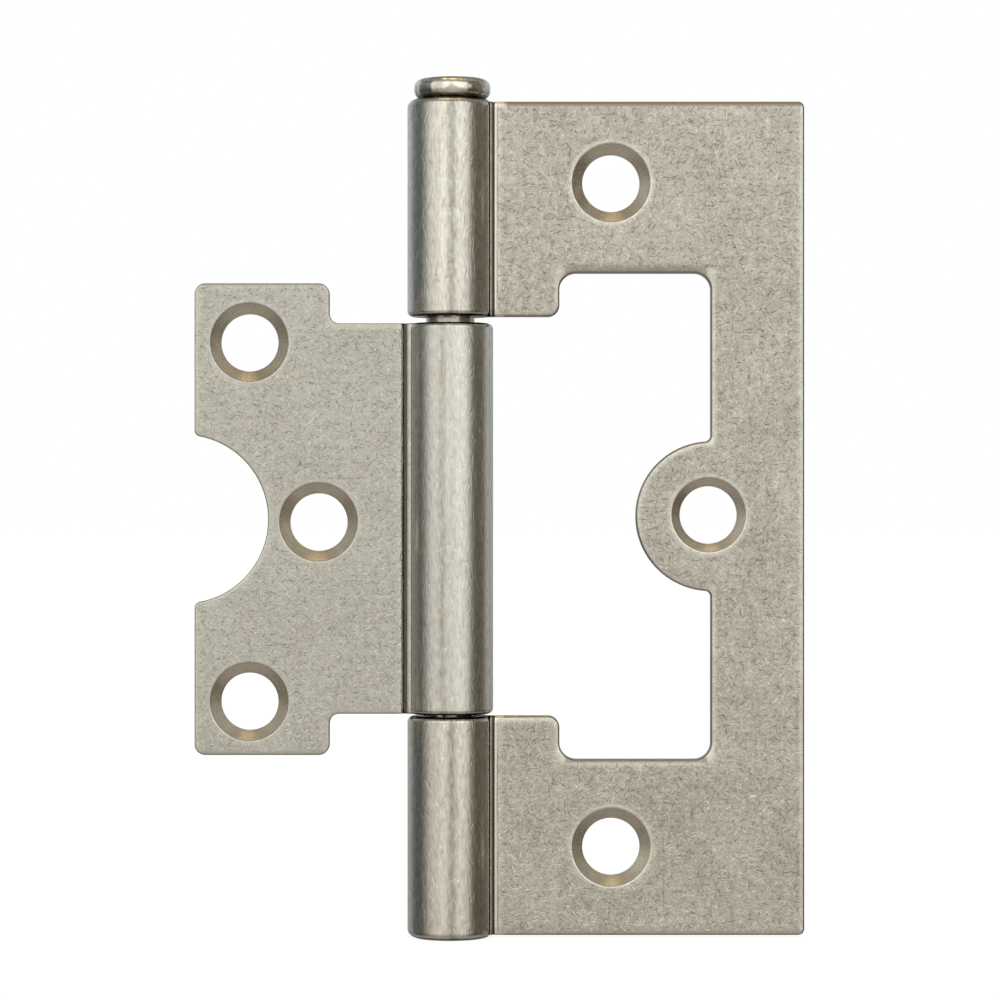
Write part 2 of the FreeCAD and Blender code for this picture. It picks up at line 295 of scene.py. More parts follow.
class Pen:
    """Draws a line in edit mode, where each stroke extrudes or spins the last vertex."""

    def __init__(self, name: str, start: Vector, side: int = 1, arc_step: float = math.radians(5)) -> None:
        """Starts a new piece as one vertex.

        Args:
            name: the new piece's name.
            start: the first point, in millimetres from the pin's axis.
            side: 1 to draw towards +x, or -1 for its mirror image.
            arc_step: the most that one edge of an arc turns.
        """
        self.side = side
        self.arc_step = arc_step
        self.place = start
        bpy.ops.object.select_all(action="DESELECT")
        bpy.ops.mesh.primitive_plane_add(size=MM, location=self._at(start))
        self.piece = bpy.context.object
        self.piece.name = self.piece.data.name = name
        bpy.ops.object.transform_apply(location=True, rotation=True, scale=True)
        bpy.ops.object.mode_set(mode="EDIT")
        bpy.ops.mesh.select_mode(type="VERT")
        bpy.ops.mesh.select_all(action="SELECT")
        bpy.ops.mesh.merge(type="CENTER")

    def _at(self, point: Vector) -> Vector:
        """The drawn point in metres, mirrored if the pen is."""
        return at(self.side * point.x, point.y, point.z)

    def line_to(self, point: Vector) -> None:
        """A straight stroke, left out where the pen is already there.

        Args:
            point: where it ends.
        """
        if (point - self.place).length > NEAR:
            run = self._at(point) - self._at(self.place)
            bpy.ops.mesh.extrude_region_move(TRANSFORM_OT_translate={"value": run})
            self.place = point

    def arc(self, stroke: Arc) -> None:
        """A stroke round a centre, from where the pen is.

        Args:
            stroke: the arc to draw.
        """
        if abs(stroke.turn) > NEAR:
            steps = max(2, math.ceil(abs(stroke.turn) / self.arc_step))
            bpy.ops.mesh.spin(
                steps=steps, angle=-stroke.turn * self.side, center=self._at(stroke.centre), axis=(0, -1, 0)
            )
            self.place = stroke.end

    def outline(self, items: Sequence[Corner | Scallop], depth: float) -> bpy.types.Object:
        """Draws a closed outline and fills it.

        Args:
            items: the corners and scallops in order.
            depth: the y of the outline.

        Returns:
            The filled piece.
        """
        shift = Vector((0, depth, 0))
        strokes = strokes_of(items)
        for stroke in strokes:
            moved = Arc(stroke.start + shift, stroke.centre + shift, stroke.turn)
            self.line_to(moved.start)
            self.arc(moved)
        self.line_to(strokes[0].start + shift)
        bpy.ops.mesh.select_all(action="SELECT")
        bpy.ops.mesh.remove_doubles(threshold=NEAR * MM)
        bpy.ops.mesh.select_all(action="SELECT")
        bpy.ops.mesh.edge_face_add()
        bpy.ops.object.mode_set(mode="OBJECT")
        return self.piece

    def turned(self, centre: Vector, axis: Vector, steps: int) -> bpy.types.Object:
        """Spins the drawn profile into a closed solid.

        Args:
            centre: a point on the axis.
            axis: the axis that both ends of the profile lie on.
            steps: how many facets go round it.

        Returns:
            The closed piece.
        """
        bpy.ops.mesh.select_all(action="SELECT")
        bpy.ops.mesh.spin(steps=steps, angle=2 * math.pi, center=self._at(centre), axis=axis)
        bpy.ops.mesh.select_all(action="SELECT")
        bpy.ops.mesh.remove_doubles(threshold=NEAR * MM)
        bpy.ops.mesh.normals_make_consistent(inside=False)
        bpy.ops.object.mode_set(mode="OBJECT")
        return self.piece


@dataclass(frozen=True)
class ScrewHole:
    """A countersunk screw hole, in millimetres from the pin's axis."""

    x: float
    z: float
    rim_diameter: float = 9.5
    hole_diameter: float = 6.9
    rim_round: float = 0.4
    lean: float = math.radians(40)
    back_round: float = 0.15
    overrun: float = 1.0
    flush: float = 0.01
    clear: float = 0.12
    back_share: float = 0.3
    rim_inside: float = 0.15
    turned_inside: float = 0.1
    turned_depth: float = 1.2
    round_steps: int = 4
    facets: int = 72

    @property
    def rim_circle(self) -> tuple[float, float, float]:
        """The circle just inside its rim, as x, z and radius."""
        return self.x, self.z, self.rim_diameter / 2 - self.rim_inside

    def holds(self, p: Vector) -> bool:
        """Whether a point is on the hole's own surface."""
        off = math.hypot(p.x - self.x, p.z - self.z)
        return off < self.rim_diameter / 2 - self.turned_inside and abs(p.y) < self.turned_depth

    def cutter(self, front: float, back: float) -> bpy.types.Object:
        """The solid that cuts the hole: it flares into the front face, and a little into the back one.

        Args:
            front: y of the front face.
            back: y of the back face.

        Returns:
            The cutter.
        """
        rim, hole = self.rim_diameter / 2, self.hole_diameter / 2
        run = self.rim_round * math.tan(self.lean / 2)
        pen = Pen("hole_cutter", Vector((self.x, front - self.overrun, self.z)))
        flare = [(rim + run + self.clear, front - self.overrun), (rim + run + self.clear, front - self.flush)]
        for i in range(self.round_steps + 1):
            angle = self.lean * i / self.round_steps
            flare.append((rim + run - self.rim_round * math.sin(angle),
                          front + self.rim_round * (1 - math.cos(angle))))
        flare += [
            (hole, front + (rim - hole) * math.tan(self.lean)),
            (hole, back - self.back_round),
            (hole + self.back_round * self.back_share, back - self.back_round * self.back_share),
            (hole + self.back_round, back + self.flush),
            (hole + self.back_round, back + self.overrun),
            (0.0, back + self.overrun),
        ]
        for radius, y in flare:
            pen.line_to(Vector((self.x + radius, y, self.z)))
        return pen.turned(Vector((self.x, 0, self.z)), Vector((0, 1, 0)), self.facets)


@dataclass(frozen=True)
class Tongue:
    """A tongue of a leaf that is rolled into a knuckle. Millimetres, towards +x from the pin."""

    low: float
    high: float
    low_stand_out: float = 0.0
    high_stand_out: float = 0.0
    low_rim: float = 0.6
    high_rim: float = 0.6


@dataclass
class Leaf:
    """One blanked, countersunk and rolled leaf of the hinge, in millimetres."""

    name: str = "leaf"
    side: int = 1
    sheet: float = 2.2
    bore: float = 2.95
    bend_inside: float = 0.4
    straight_tip: float = 0.9
    seam_gap: float = 0.15
    run_in: float = 2.0
    trim: float = 1.5
    front_edge: float = 0.3
    shear_drop: float = 0.05
    shear_reach: float = 1.05
    inset_steps: tuple[float, ...] = (0.45, 0.6, 0.75, 0.9)
    front_segments: int = 4
    weld: float = 0.03
    back_edge: float = 0.2
    back_segments: int = 3
    tip_edge: float = 0.12
    tip_segments: int = 2
    tip_x: float = 4.70
    crease: float = 5.08
    crease_half: float = 0.09
    crease_depth: float = 0.5
    lip: float = 0.18
    sag: float = 0.08
    sag_reach: float = 0.8
    land_lip: float = 0.06
    land_crown: float = 0.70
    land_crest: float = 0.5
    sag_shares: tuple[float, ...] = (1.0, 0.8, 0.6, 0.4)
    lip_shares: tuple[float, ...] = (1.0, 0.8, 0.6, 0.4, 0.2, 0.08, 0.0)
    land_lip_shares: tuple[float, ...] = (0.0, 0.4, 1.0)
    land_shares: tuple[float, ...] = (0.85, 0.7, 0.55, 0.4, 0.25, 0.1)
    past_tip: float = 0.1
    corner_reach: float = 0.45
    corner_width: float = 0.4
    corner_clearance: float = 0.03
    closest_stations: float = 0.012
    beyond_end: float = 1.0
    arc_step: float = math.radians(4)
    bend_step: float = math.radians(5)
    roll_step: float = math.radians(3)
    holes: list[ScrewHole] = field(default_factory=list)
    tongues: list[Tongue] = field(default_factory=list)

    @property
    def front(self) -> float:
        """y of the countersunk face."""
        return -self.sheet / 2

    @property
    def back(self) -> float:
        """y of the face that lies on the wood."""
        return self.sheet / 2

    @property
    def roll_middle(self) -> float:
        """Radius of the middle of the rolled sheet."""
        return self.bore + self.sheet / 2

    @property
    def bend(self) -> float:
        """Radius of the middle of the sheet where it bends back."""
        return self.bend_inside + self.sheet / 2

    @property
    def start(self) -> float:
        """How far from the pin's axis the sheet leaves its plane."""
        return math.sqrt(self.roll_middle**2 + 2 * self.roll_middle * self.bend)

    @property
    def root(self) -> float:
        """How far from the pin's axis the flat blank ends."""
        return self.start + self.run_in

    def outline(self) -> list[Corner | Scallop]:
        """The blank's outline, for each kind of leaf."""
        raise NotImplementedError

    def build(self) -> bpy.types.Object:
        """Cuts, breaks, drills and rolls the leaf.

        Returns:
            The finished piece.
        """
        items = self.outline()
        first = items[0].first
        face = self.front + self.shear_drop
        pen = Pen(self.name, Vector((first.x, face, first.z)), self.side, self.arc_step)
        piece = pen.outline(items, face)
        with editing(piece):
            bpy.ops.mesh.select_all(action="SELECT")
            bpy.ops.mesh.extrude_region_move(TRANSFORM_OT_translate={"value": (0, (self.back - face) * MM, 0)})
            bpy.ops.mesh.select_all(action="SELECT")
            bpy.ops.mesh.normals_make_consistent(inside=False)
            self._break_edges(piece, face, self.front_edge, self.front_segments)
            self._break_edges(piece, self.back, self.back_edge, self.back_segments)
            self._pull_down_rim(piece, items)
            self._trim()
        for hole in self.holes:
            self._cut(piece, hole)
        with editing(piece):
            for tongue in self.tongues:
                self._roll(piece, tongue)
            bpy.ops.mesh.select_all(action="SELECT")
            bpy.ops.mesh.normals_make_consistent(inside=False)
        return piece

    def _break_edges(self, piece: bpy.types.Object, face_y: float, width: float, segments: int) -> None:
        """Rounds the edges of the face at one depth.

        Args:
            piece: the blank in edit mode.
            face_y: y of the face.
            width: how far in the round goes.
            segments: how many flats make it.
        """

        def rim(p: Vector) -> bool:
            """Whether a point is on the face."""
            return abs(p.y - face_y) < NEAR

        pick(piece, Kind.EDGE, rim)
        bpy.ops.mesh.bevel(offset=width * MM, segments=segments, profile=0.5, affect="EDGES",
                           loop_slide=False, clamp_overlap=True)

    def _pull_down_rim(self, piece: bpy.types.Object, items: Sequence[Corner | Scallop]) -> None:
        """Slopes the front face down to its rim, as the blanking punch leaves it.

        Args:
            piece: the blank in edit mode.
            items: its outline, whose tightest outward corners close up on the way in.
        """
        run = self.shear_reach - self.front_edge
        here, level = self.front_edge, self.front + self.shear_drop
        for reach in (*self.inset_steps, self.shear_reach):
            pick(piece, Kind.FACE, lambda p, level=level: abs(p.y - level) < NEAR)
            next_level = self.front + self.shear_drop * ((self.shear_reach - reach) / run) ** 2
            bpy.ops.mesh.inset(thickness=(reach - here) * MM, depth=(level - next_level) * MM)
            here, level = reach, next_level
            for centre in closing_corners(items, reach):
                spot = Vector((self.side * centre.x, level, centre.z))
                if pick(piece, Kind.VERTEX, lambda p, spot=spot: (p - spot).length < self.weld) > 1:
                    bpy.ops.mesh.merge(type="CENTER")

    def _trim(self) -> None:
        """Cuts the blank off square at the root, where the tongues go on."""
        bpy.ops.mesh.select_all(action="SELECT")
        bpy.ops.mesh.bisect(plane_co=at(self.side * self.root, 0, 0), plane_no=(self.side, 0, 0),
                            use_fill=True, clear_inner=True)

    def _cut(self, piece: bpy.types.Object, hole: ScrewHole) -> None:
        """Cuts one screw hole.

        Args:
            piece: the leaf.
            hole: where the hole is, and its sizes.
        """
        cutter = hole.cutter(self.front, self.back)
        apply_modifier(piece, "BOOLEAN", object=cutter, operation="DIFFERENCE", solver="EXACT")
        bpy.data.objects.remove(cutter, do_unlink=True)

    def _spin(self, centre_x: float, centre_y: float, turn: float, steps: int) -> None:
        """Sweeps the selected end face about an upright axis, by the right-hand rule on the +x side."""
        bpy.ops.mesh.spin(steps=steps, angle=-turn * self.side,
                          center=at(self.side * centre_x, centre_y, 0), axis=(0, 0, 1))

    def _front_at(self, x: float) -> float:
        """How deep the front face lies beside the seam: a soft fall, the crease and a crowned land.

        Args:
            x: how far from the pin's axis.

        Returns:
            The depth below the flat front face.
        """
        off = abs(x - self.crease) - self.crease_half
        if off <= 0:
            return self.crease_depth
        lip = self.lip if x > self.crease else self.land_lip
        fall = max(0.0, 1 - off / lip)
        depth = self.crease_depth * (1 - math.sqrt(1 - fall**2))
        if x > self.crease:
            depth += self.sag * max(0.0, 1 - off / self.sag_reach) ** 2
        else:
            width = self.crease - self.crease_half - self.tip_x
            off_crest = (x - self.tip_x) / width - self.land_crest
            depth = max(depth, self.land_crown * width * off_crest**2)
        return min(depth, self.crease_depth)

    def _stations(self) -> list[float]:
        """Where along the root the sheet's section is set, from the blank towards the pin.

        Returns:
            Distances from the pin's axis, the furthest first.
        """
        leaf_side, land_side = self.crease + self.crease_half, self.crease - self.crease_half
        places = [leaf_side + share * self.sag_reach for share in self.sag_shares]
        places += [leaf_side + share * self.lip for share in self.lip_shares]
        places += [land_side - share * self.land_lip for share in self.land_lip_shares]
        places += [self.tip_x + share * (land_side - self.tip_x) for share in self.land_shares]
        places.append(self.tip_x - self.past_tip)
        kept = [self.start]
        for x in places:
            if all(abs(x - other) > self.closest_stations for other in kept):
                kept.append(x)
        return sorted(kept, reverse=True)

    def _roll(self, piece: bpy.types.Object, tongue: Tongue) -> None:
        """Grows a knuckle out of the blank's root: run-in, bend, roll and closed tip.

        Args:
            piece: the leaf in edit mode.
            tongue: the tongue to roll.
        """
        side = self.side

        def on_root(p: Vector) -> bool:
            """Whether a point is on the tongue's share of the cut root."""
            return abs(side * p.x - self.root) < NEAR and tongue.low - NEAR < p.z < tongue.high + NEAR

        pick(piece, Kind.FACE, on_root)
        outer = self.bend + self.sheet / 2
        lift = math.asin(self.bend / (self.roll_middle + self.bend))
        bend_turn = math.pi / 2 - lift
        here = self.root
        angles = []
        for x in self._stations():
            if x >= self.start:
                step = (side * (x - here) * MM, 0, 0)
                bpy.ops.mesh.extrude_region_move(TRANSFORM_OT_translate={"value": step})
                here = x
                if x == self.start:
                    angles.append(0.0)
            else:
                angle = math.asin((self.start - x) / outer)
                self._spin(self.start, self.bend, angles[-1] - angle, 1)
                angles.append(angle)
        coarse = math.ceil((bend_turn - angles[-1]) / self.bend_step)
        first = angles[-1]
        self._spin(self.start, self.bend, first - bend_turn, coarse)
        angles += [first + (bend_turn - first) * (i + 1) / coarse for i in range(coarse)]
        self._shape_root(piece, tongue)
        for angle in angles:
            self._shape_bend(piece, tongue, angle, bend_turn)

        def on_bend_end(p: Vector) -> bool:
            """Whether a point is on the section where the bend ends.

            Args:
                p: the point.

            Returns:
                True if it is.
            """
            x = side * p.x
            low, high = tongue.low - tongue.low_stand_out, tongue.high + tongue.high_stand_out
            return abs(math.atan2(p.y, x) - lift) < NEAR / 3 and x > 0 and low - NEAR < p.z < high + NEAR

        reach = outer + self.seam_gap + self.straight_tip
        short_of_leaf = math.asin(reach / (self.roll_middle + self.bend)) - lift
        roll_turn = 2 * math.pi - lift - short_of_leaf
        pick(piece, Kind.FACE, on_bend_end)
        self._spin(0, 0, roll_turn, math.ceil(roll_turn / self.roll_step))
        along = Vector((side * math.sin(short_of_leaf), math.cos(short_of_leaf), 0))
        bpy.ops.mesh.extrude_region_move(TRANSFORM_OT_translate={"value": along * self.straight_tip * MM})
        corner = Vector((math.cos(short_of_leaf), -math.sin(short_of_leaf), 0)) * (self.bore + self.sheet)
        corner += Vector((along.x * side, along.y, 0)) * self.straight_tip
        bpy.ops.mesh.region_to_loop()
        bpy.ops.mesh.bevel(offset=self.tip_edge * MM, segments=self.tip_segments, profile=0.5, affect="EDGES",
                           loop_slide=False, clamp_overlap=True)

        def by_corner(p: Vector) -> bool:
            """Whether a point is on the tip's rounded corner, clear of the leaf behind it.

            Args:
                p: the point.

            Returns:
                True if it is.
            """
            return (math.hypot(side * p.x - corner.x, p.y - corner.y) < self.corner_reach
                    and p.y < self.front - self.corner_clearance
                    and self._beside(p, tongue) and side * p.x > corner.x - self.corner_width)

        pick(piece, Kind.VERTEX, by_corner)
        bpy.ops.transform.translate(value=(side * (self.tip_x - corner.x) * MM, 0, 0))

    def _beside(self, p: Vector, tongue: Tongue) -> bool:
        """Whether a point is at the height of a tongue."""
        return tongue.low - self.beyond_end < p.z < tongue.high + self.beyond_end

    def _shape_root(self, piece: bpy.types.Object, tongue: Tongue) -> None:
        """Sinks the front face into the crease on the flat part of the root.

        Args:
            piece: the leaf in edit mode.
            tongue: the tongue that is being rolled.
        """
        for x in self._stations():
            depth = self._front_at(x)
            if x <= self.start or depth == 0.0:
                continue

            def in_front(p: Vector, x: float = x) -> bool:
                """Whether a point is on the front face at this section."""
                return abs(self.side * p.x - x) < NEAR and p.y < 0 and self._beside(p, tongue)

            pick(piece, Kind.VERTEX, in_front)
            bpy.ops.transform.translate(value=(0, depth * MM, 0))

    def _shape_bend(self, piece: bpy.types.Object, tongue: Tongue, angle: float, bend_turn: float) -> None:
        """Sets one section of the bend: crease or land in front, and rim and stand-out at the ends.

        Args:
            piece: the leaf in edit mode.
            tongue: the tongue that is being rolled.
            angle: how far round the bend the section is.
            bend_turn: how far the bend goes.
        """
        side, outer = self.side, self.bend + self.sheet / 2
        inner = self.bend - self.sheet / 2
        corner = (self.start - inner * math.sin(angle), self.bend - inner * math.cos(angle))

        def on_section(p: Vector) -> bool:
            """Whether a point is on the section at this angle.

            Args:
                p: the point.

            Returns:
                True if it is.
            """
            off_x, off_y = self.start - side * p.x, self.bend - p.y
            return (abs(off_x * math.cos(angle) - off_y * math.sin(angle)) < NEAR
                    and off_x * math.sin(angle) + off_y * math.cos(angle) > 0
                    and self._beside(p, tongue) and side * p.x > 0)

        share = angle / bend_turn
        share = share * share * (3 - 2 * share)
        for end, stand_out, rim in ((tongue.low, -tongue.low_stand_out, tongue.low_rim),
                                    (tongue.high, tongue.high_stand_out, tongue.high_rim)):
            grow = 1 + share * (rim / self.back_edge - 1)
            reach = self.back_edge + NEAR

            def in_corner(p: Vector, end: float = end, reach: float = reach) -> bool:
                """Whether a point is on the round at this end of the knuckle."""
                return (on_section(p) and math.hypot(side * p.x - corner[0], p.y - corner[1]) < reach
                        and abs(p.z - end) < reach)

            if share > 0 and pick(piece, Kind.VERTEX, in_corner):
                bpy.ops.transform.resize(value=(grow, grow, grow),
                                         center_override=at(side * corner[0], corner[1], end))
            if share > 0 and stand_out:

                def at_end(p: Vector, end: float = end, rim: float = rim) -> bool:
                    """Whether a point is on the round or the end face that stands out."""
                    return on_section(p) and abs(p.z - end) < rim + NEAR

                if pick(piece, Kind.VERTEX, at_end):
                    bpy.ops.transform.translate(value=(0, 0, stand_out * share * MM))
        x = self.start - outer * math.sin(angle)
        if x > self.tip_x - self.past_tip - NEAR:
            level = self.bend - outer * math.cos(angle)
            depth = self._front_at(x) + self.front - level

            def in_front(p: Vector) -> bool:
                """Whether a point is on the outside of the bend."""
                return on_section(p) and math.hypot(side * p.x - self.start, p.y - self.bend) > self.bend

            if pick(piece, Kind.VERTEX, in_front):
                bpy.ops.transform.translate(value=(0, depth * MM, 0))


@dataclass
class FrameLeaf(Leaf):
    """The larger leaf: bars round a window, a strip with a round lobe, and two knuckles."""

    name: str = "frame_leaf_plated"
    top: float = 50.0
    reach: float = 42.48
    window_near: float = 13.1
    window_far: float = 31.24
    window_high: float = 29.425
    window_low: float = -28.925
    neck_high: float = 24.2
    neck_low: float = -23.7
    window_middle: float = 0.25
    stand_out: float = 0.3
    outer_rim: float = 0.9
    outer_corner: float = 0.75
    neck_corner: float = 1.4
    window_corner: float = 2.0
    lobe_radius: float = 9.0
    lobe_blend: float = 0.7
    end_holes_x: float = 19.3
    top_hole_z: float = 40.25
    low_hole_z: float = -39.45
    lobe_hole_x: float = 31.0
    lobe_hole_z: float = 0.4
    lobe_hole_rim: float = 9.0

    def __post_init__(self) -> None:
        """Sets out the screw holes and the tongues."""
        self.holes = [
            ScrewHole(self.end_holes_x, self.top_hole_z),
            ScrewHole(self.lobe_hole_x, self.lobe_hole_z, rim_diameter=self.lobe_hole_rim),
            ScrewHole(self.end_holes_x, self.low_hole_z),
        ]
        self.tongues = [
            Tongue(self.neck_high, self.top, high_stand_out=self.stand_out, high_rim=self.outer_rim),
            Tongue(-self.top, self.neck_low, low_stand_out=self.stand_out, low_rim=self.outer_rim),
        ]

    def outline(self) -> list[Corner | Scallop]:
        """The C shape, clockwise from the top of the upper tongue.

        Returns:
            Its corners, and the lobe in the window.
        """
        return [
            Corner(self.root - self.trim, self.top),
            Corner(self.reach, self.top, self.outer_corner),
            Corner(self.reach, -self.top, self.outer_corner),
            Corner(self.root - self.trim, -self.top),
            Corner(self.root - self.trim, self.neck_low),
            Corner(self.window_near, self.neck_low, self.neck_corner),
            Corner(self.window_near, self.window_low, self.window_corner),
            Corner(self.window_far, self.window_low, self.window_corner),
            Scallop(self.window_far, self.window_far, self.window_middle, self.lobe_radius, self.lobe_blend),
            Corner(self.window_far, self.window_high, self.window_corner),
            Corner(self.window_near, self.window_high, self.window_corner),
            Corner(self.window_near, self.neck_high, self.neck_corner),
            Corner(self.root - self.trim, self.neck_high),
        ]


@dataclass
class DoorLeaf(Leaf):
    """The smaller leaf: two tabs with a round notch between them, and the middle knuckle."""

    name: str = "door_leaf_plated"
    side: int = -1
    bend_inside: float = 0.8
    tip_x: float = 4.67
    crease: float = 5.38
    crease_half: float = 0.15
    lip: float = 0.60
    land_crown: float = 0.42
    land_crest: float = 0.05
    sag: float = 0.04
    sag_reach: float = 1.3
    front_edge: float = 0.18
    shear_drop: float = 0.02
    inset_steps: tuple[float, ...] = (0.3, 0.5, 0.75)
    reach: float = 30.67
    tab_near: float = 14.5
    middle: float = -0.1
    tab_half: float = 28.3
    knuckle_low: float = -23.45
    knuckle_high: float = 23.40
    neck_corner: float = 1.2
    tab_corner: float = 1.3
    notch_centre: float = 31.95
    notch_radius: float = 10.1
    notch_blend: float = 0.75
    holes_drop: float = 0.35
    hole_spread: float = 21.55
    far_holes_x: float = -24.1
    near_hole_x: float = -15.8

    def __post_init__(self) -> None:
        """Sets out the screw holes and the tongue."""
        holes = self.middle - self.holes_drop
        self.holes = [
            ScrewHole(self.far_holes_x, holes + self.hole_spread),
            ScrewHole(self.near_hole_x, holes),
            ScrewHole(self.far_holes_x, holes - self.hole_spread),
        ]
        self.tongues = [Tongue(self.knuckle_low, self.knuckle_high)]

    def outline(self) -> list[Corner | Scallop]:
        """The blank, drawn towards +x and mirrored by the pen.

        Returns:
            Its corners, and the notch between the tabs.
        """
        low, high = self.knuckle_low, self.knuckle_high
        tab_low, tab_high = self.middle - self.tab_half, self.middle + self.tab_half
        return [
            Corner(self.root - self.trim, high),
            Corner(self.root - self.trim, low),
            Corner(self.tab_near, low, self.neck_corner),
            Corner(self.tab_near, tab_low, self.tab_corner),
            Corner(self.reach, tab_low, self.tab_corner),
            Scallop(self.reach, self.notch_centre, self.middle, self.notch_radius, self.notch_blend),
            Corner(self.reach, tab_high, self.tab_corner),
            Corner(self.tab_near, tab_high, self.tab_corner),
            Corner(self.tab_near, high, self.neck_corner),
        ]


@dataclass
class HingePin:
    """The headed pin, in millimetres."""

    name: str = "hinge_pin_polished"
    radius: float = 2.9
    seat: float = 50.3
    neck: float = 1.0
    foot: float = -49.7
    foot_chamfer: float = 0.5
    head_radius: float = 4.575
    head_height: float = 2.55
    head_off_centre: float = 0.24
    under_round: float = 1.2
    under_turn: float = math.radians(68)
    rim: float = 1.05
    crown: float = 0.1
    crown_steps: tuple[float, ...] = (0.75, 0.5, 0.25, 0.0)
    arc_step: float = math.radians(7)
    facets: int = 96

    def build(self) -> bpy.types.Object:
        """Draws half of the pin's outline and turns it. The upset head stands a little off centre.

        Returns:
            The finished piece.
        """
        shoulder = self.seat + self.head_height - self.crown
        pen = Pen(self.name, Vector((0, 0, self.foot)), arc_step=self.arc_step)
        rise = self.under_round * math.sin(self.under_turn)
        under = Vector((self.head_radius - self.under_round, 0, self.seat + rise))
        bulge = under + Vector((math.cos(self.under_turn), 0, -math.sin(self.under_turn))) * self.under_round
        for x, z in (
            (self.radius - self.foot_chamfer, self.foot),
            (self.radius, self.foot + self.foot_chamfer),
            (self.radius, self.seat - self.neck),
            (self.radius, self.seat),
            (bulge.x, self.seat),
        ):
            pen.line_to(Vector((x, 0, z)))
        pen.arc(Arc(pen.place, under, self.under_turn))
        pen.line_to(Vector((self.head_radius, 0, shoulder - self.rim)))
        rim_centre = Vector((self.head_radius - self.rim, 0, shoulder - self.rim))
        pen.arc(Arc(pen.place, rim_centre, math.pi / 2))
        for share in self.crown_steps:
            pen.line_to(Vector((rim_centre.x * share, 0, shoulder + self.crown * (1 - share**2))))
        piece = pen.turned(Vector((0, 0, 0)), Vector((0, 0, 1)), self.facets)
        with editing(piece):
            pick(piece, Kind.VERTEX, lambda p: p.z > self.seat - NEAR)
            bpy.ops.transform.translate(value=(self.head_off_centre * MM, 0, 0))
        return piece


class Tint(Enum):
    """Colours of the studio's panels and walls."""

    WHITE = (0.997, 1.0, 0.985)
    COOL = (0.985, 1.0, 1.0)
    SKY = (0.94, 0.985, 1.04)
    TEAL = (0.81, 1.0, 1.08)
    CREAM = (1.0, 0.965, 0.915)
    BROWN = (1.0, 0.93, 0.78)
    UNDER = (1.0, 0.95, 0.91)
    LAMP = (1.0, 0.80, 0.50)


Input = float | Sequence[float] | bpy.types.NodeSocket


class Graph:
    """Builds one node tree. Inputs are numbers or the sockets of earlier nodes."""

    def __init__(self, tree: bpy.types.NodeTree) -> None:
        """Takes the tree to fill."""
        self.tree = tree

    def set(self, socket: bpy.types.NodeSocket, value: Input) -> None:
        """Links a socket to another, or gives it a constant.

        Args:
            socket: the socket to fill.
            value: a number, a colour or another socket.
        """
        if isinstance(value, bpy.types.NodeSocket):
            self.tree.links.new(value, socket)
        else:
            socket.default_value = value

    def node(self, kind: str, inputs: dict[str | int, Input] | None = None,
             **settings: object) -> bpy.types.Node:
        """Adds a node.

        Args:
            kind: the node's type, without the words Shader and Node.
            inputs: what goes into its sockets, by name or number.
            settings: its own properties.

        Returns:
            The node.
        """
        node = self.tree.nodes.new(kind if kind.startswith("Node") else f"ShaderNode{kind}")
        for key, value in settings.items():
            setattr(node, key, value)
        for key, value in (inputs or {}).items():
            self.set(node.inputs[key], value)
        return node

    def math(self, operation: str, a: Input, b: Input = 0.0, c: Input = 0.0,
             clamp: bool = False) -> bpy.types.NodeSocket:
        """A sum, product or other operation on up to three numbers."""
        return self.node("Math", {0: a, 1: b, 2: c}, operation=operation, use_clamp=clamp).outputs[0]

    def vector(self, operation: str, a: Input, b: Input = (0, 0, 0),
               scale: Input = 1.0) -> bpy.types.NodeSocket:
        """An operation on two vectors, or on a vector and a scale."""
        return self.node("VectorMath", {0: a, 1: b, 3: scale}, operation=operation).outputs[0]

    def distance(self, a: Input, b: Input) -> bpy.types.NodeSocket:
        """How far apart two places are."""
        return self.node("VectorMath", {0: a, 1: b}, operation="DISTANCE").outputs["Value"]

    def split(self, vector: Input) -> tuple[bpy.types.NodeSocket, ...]:
        """The three parts of a vector."""
        return tuple(self.node("SeparateXYZ", {0: vector}).outputs)

    def join(self, x: Input, y: Input, z: Input) -> bpy.types.NodeSocket:
        """A vector of three parts."""
        return self.node("CombineXYZ", {0: x, 1: y, 2: z}).outputs[0]

    def ramp(self, value: Input, low: float, high: float, out_low: float = 0.0,
             out_high: float = 1.0) -> bpy.types.NodeSocket:
        """A soft step from one number to another, as the value goes from low to high."""
        inputs = {"Value": value, "From Min": low, "From Max": high, "To Min": out_low, "To Max": out_high}
        return self.node("MapRange", inputs, interpolation_type="SMOOTHSTEP").outputs[0]

    def product(self, first: Input, *rest: Input) -> bpy.types.NodeSocket:
        """Numbers multiplied together.

        Args:
            first: the first one.
            rest: the others.

        Returns:
            Their product.
        """
        for value in rest:
            first = self.math("MULTIPLY", first, value)
        return first

    def noise(self, place: Input, scale: float, detail: float, **settings: object) -> bpy.types.Node:
        """A noise texture of one scale."""
        return self.node("TexNoise", {"Vector": place, "Scale": scale, "Detail": detail}, **settings)

    def mix(self, factor: Input, a: Input, b: Input) -> bpy.types.NodeSocket:
        """A blend of two colours, by the share of the second."""
        return self.node("Mix", {0: factor, 6: a, 7: b}, data_type="RGBA").outputs[2]

    def use(self, effect: bpy.types.NodeTree, **inputs: Input) -> bpy.types.Node:
        """Places a shader node group, with its inputs given by name.

        Args:
            effect: the group.
            inputs: what goes into it, with underscores for spaces.

        Returns:
            The group's node.
        """
        node = self.tree.nodes.new("ShaderNodeGroup")
        node.node_tree = effect
        for key, value in inputs.items():
            self.set(node.inputs[key.replace("_", " ").capitalize()], value)
        return node


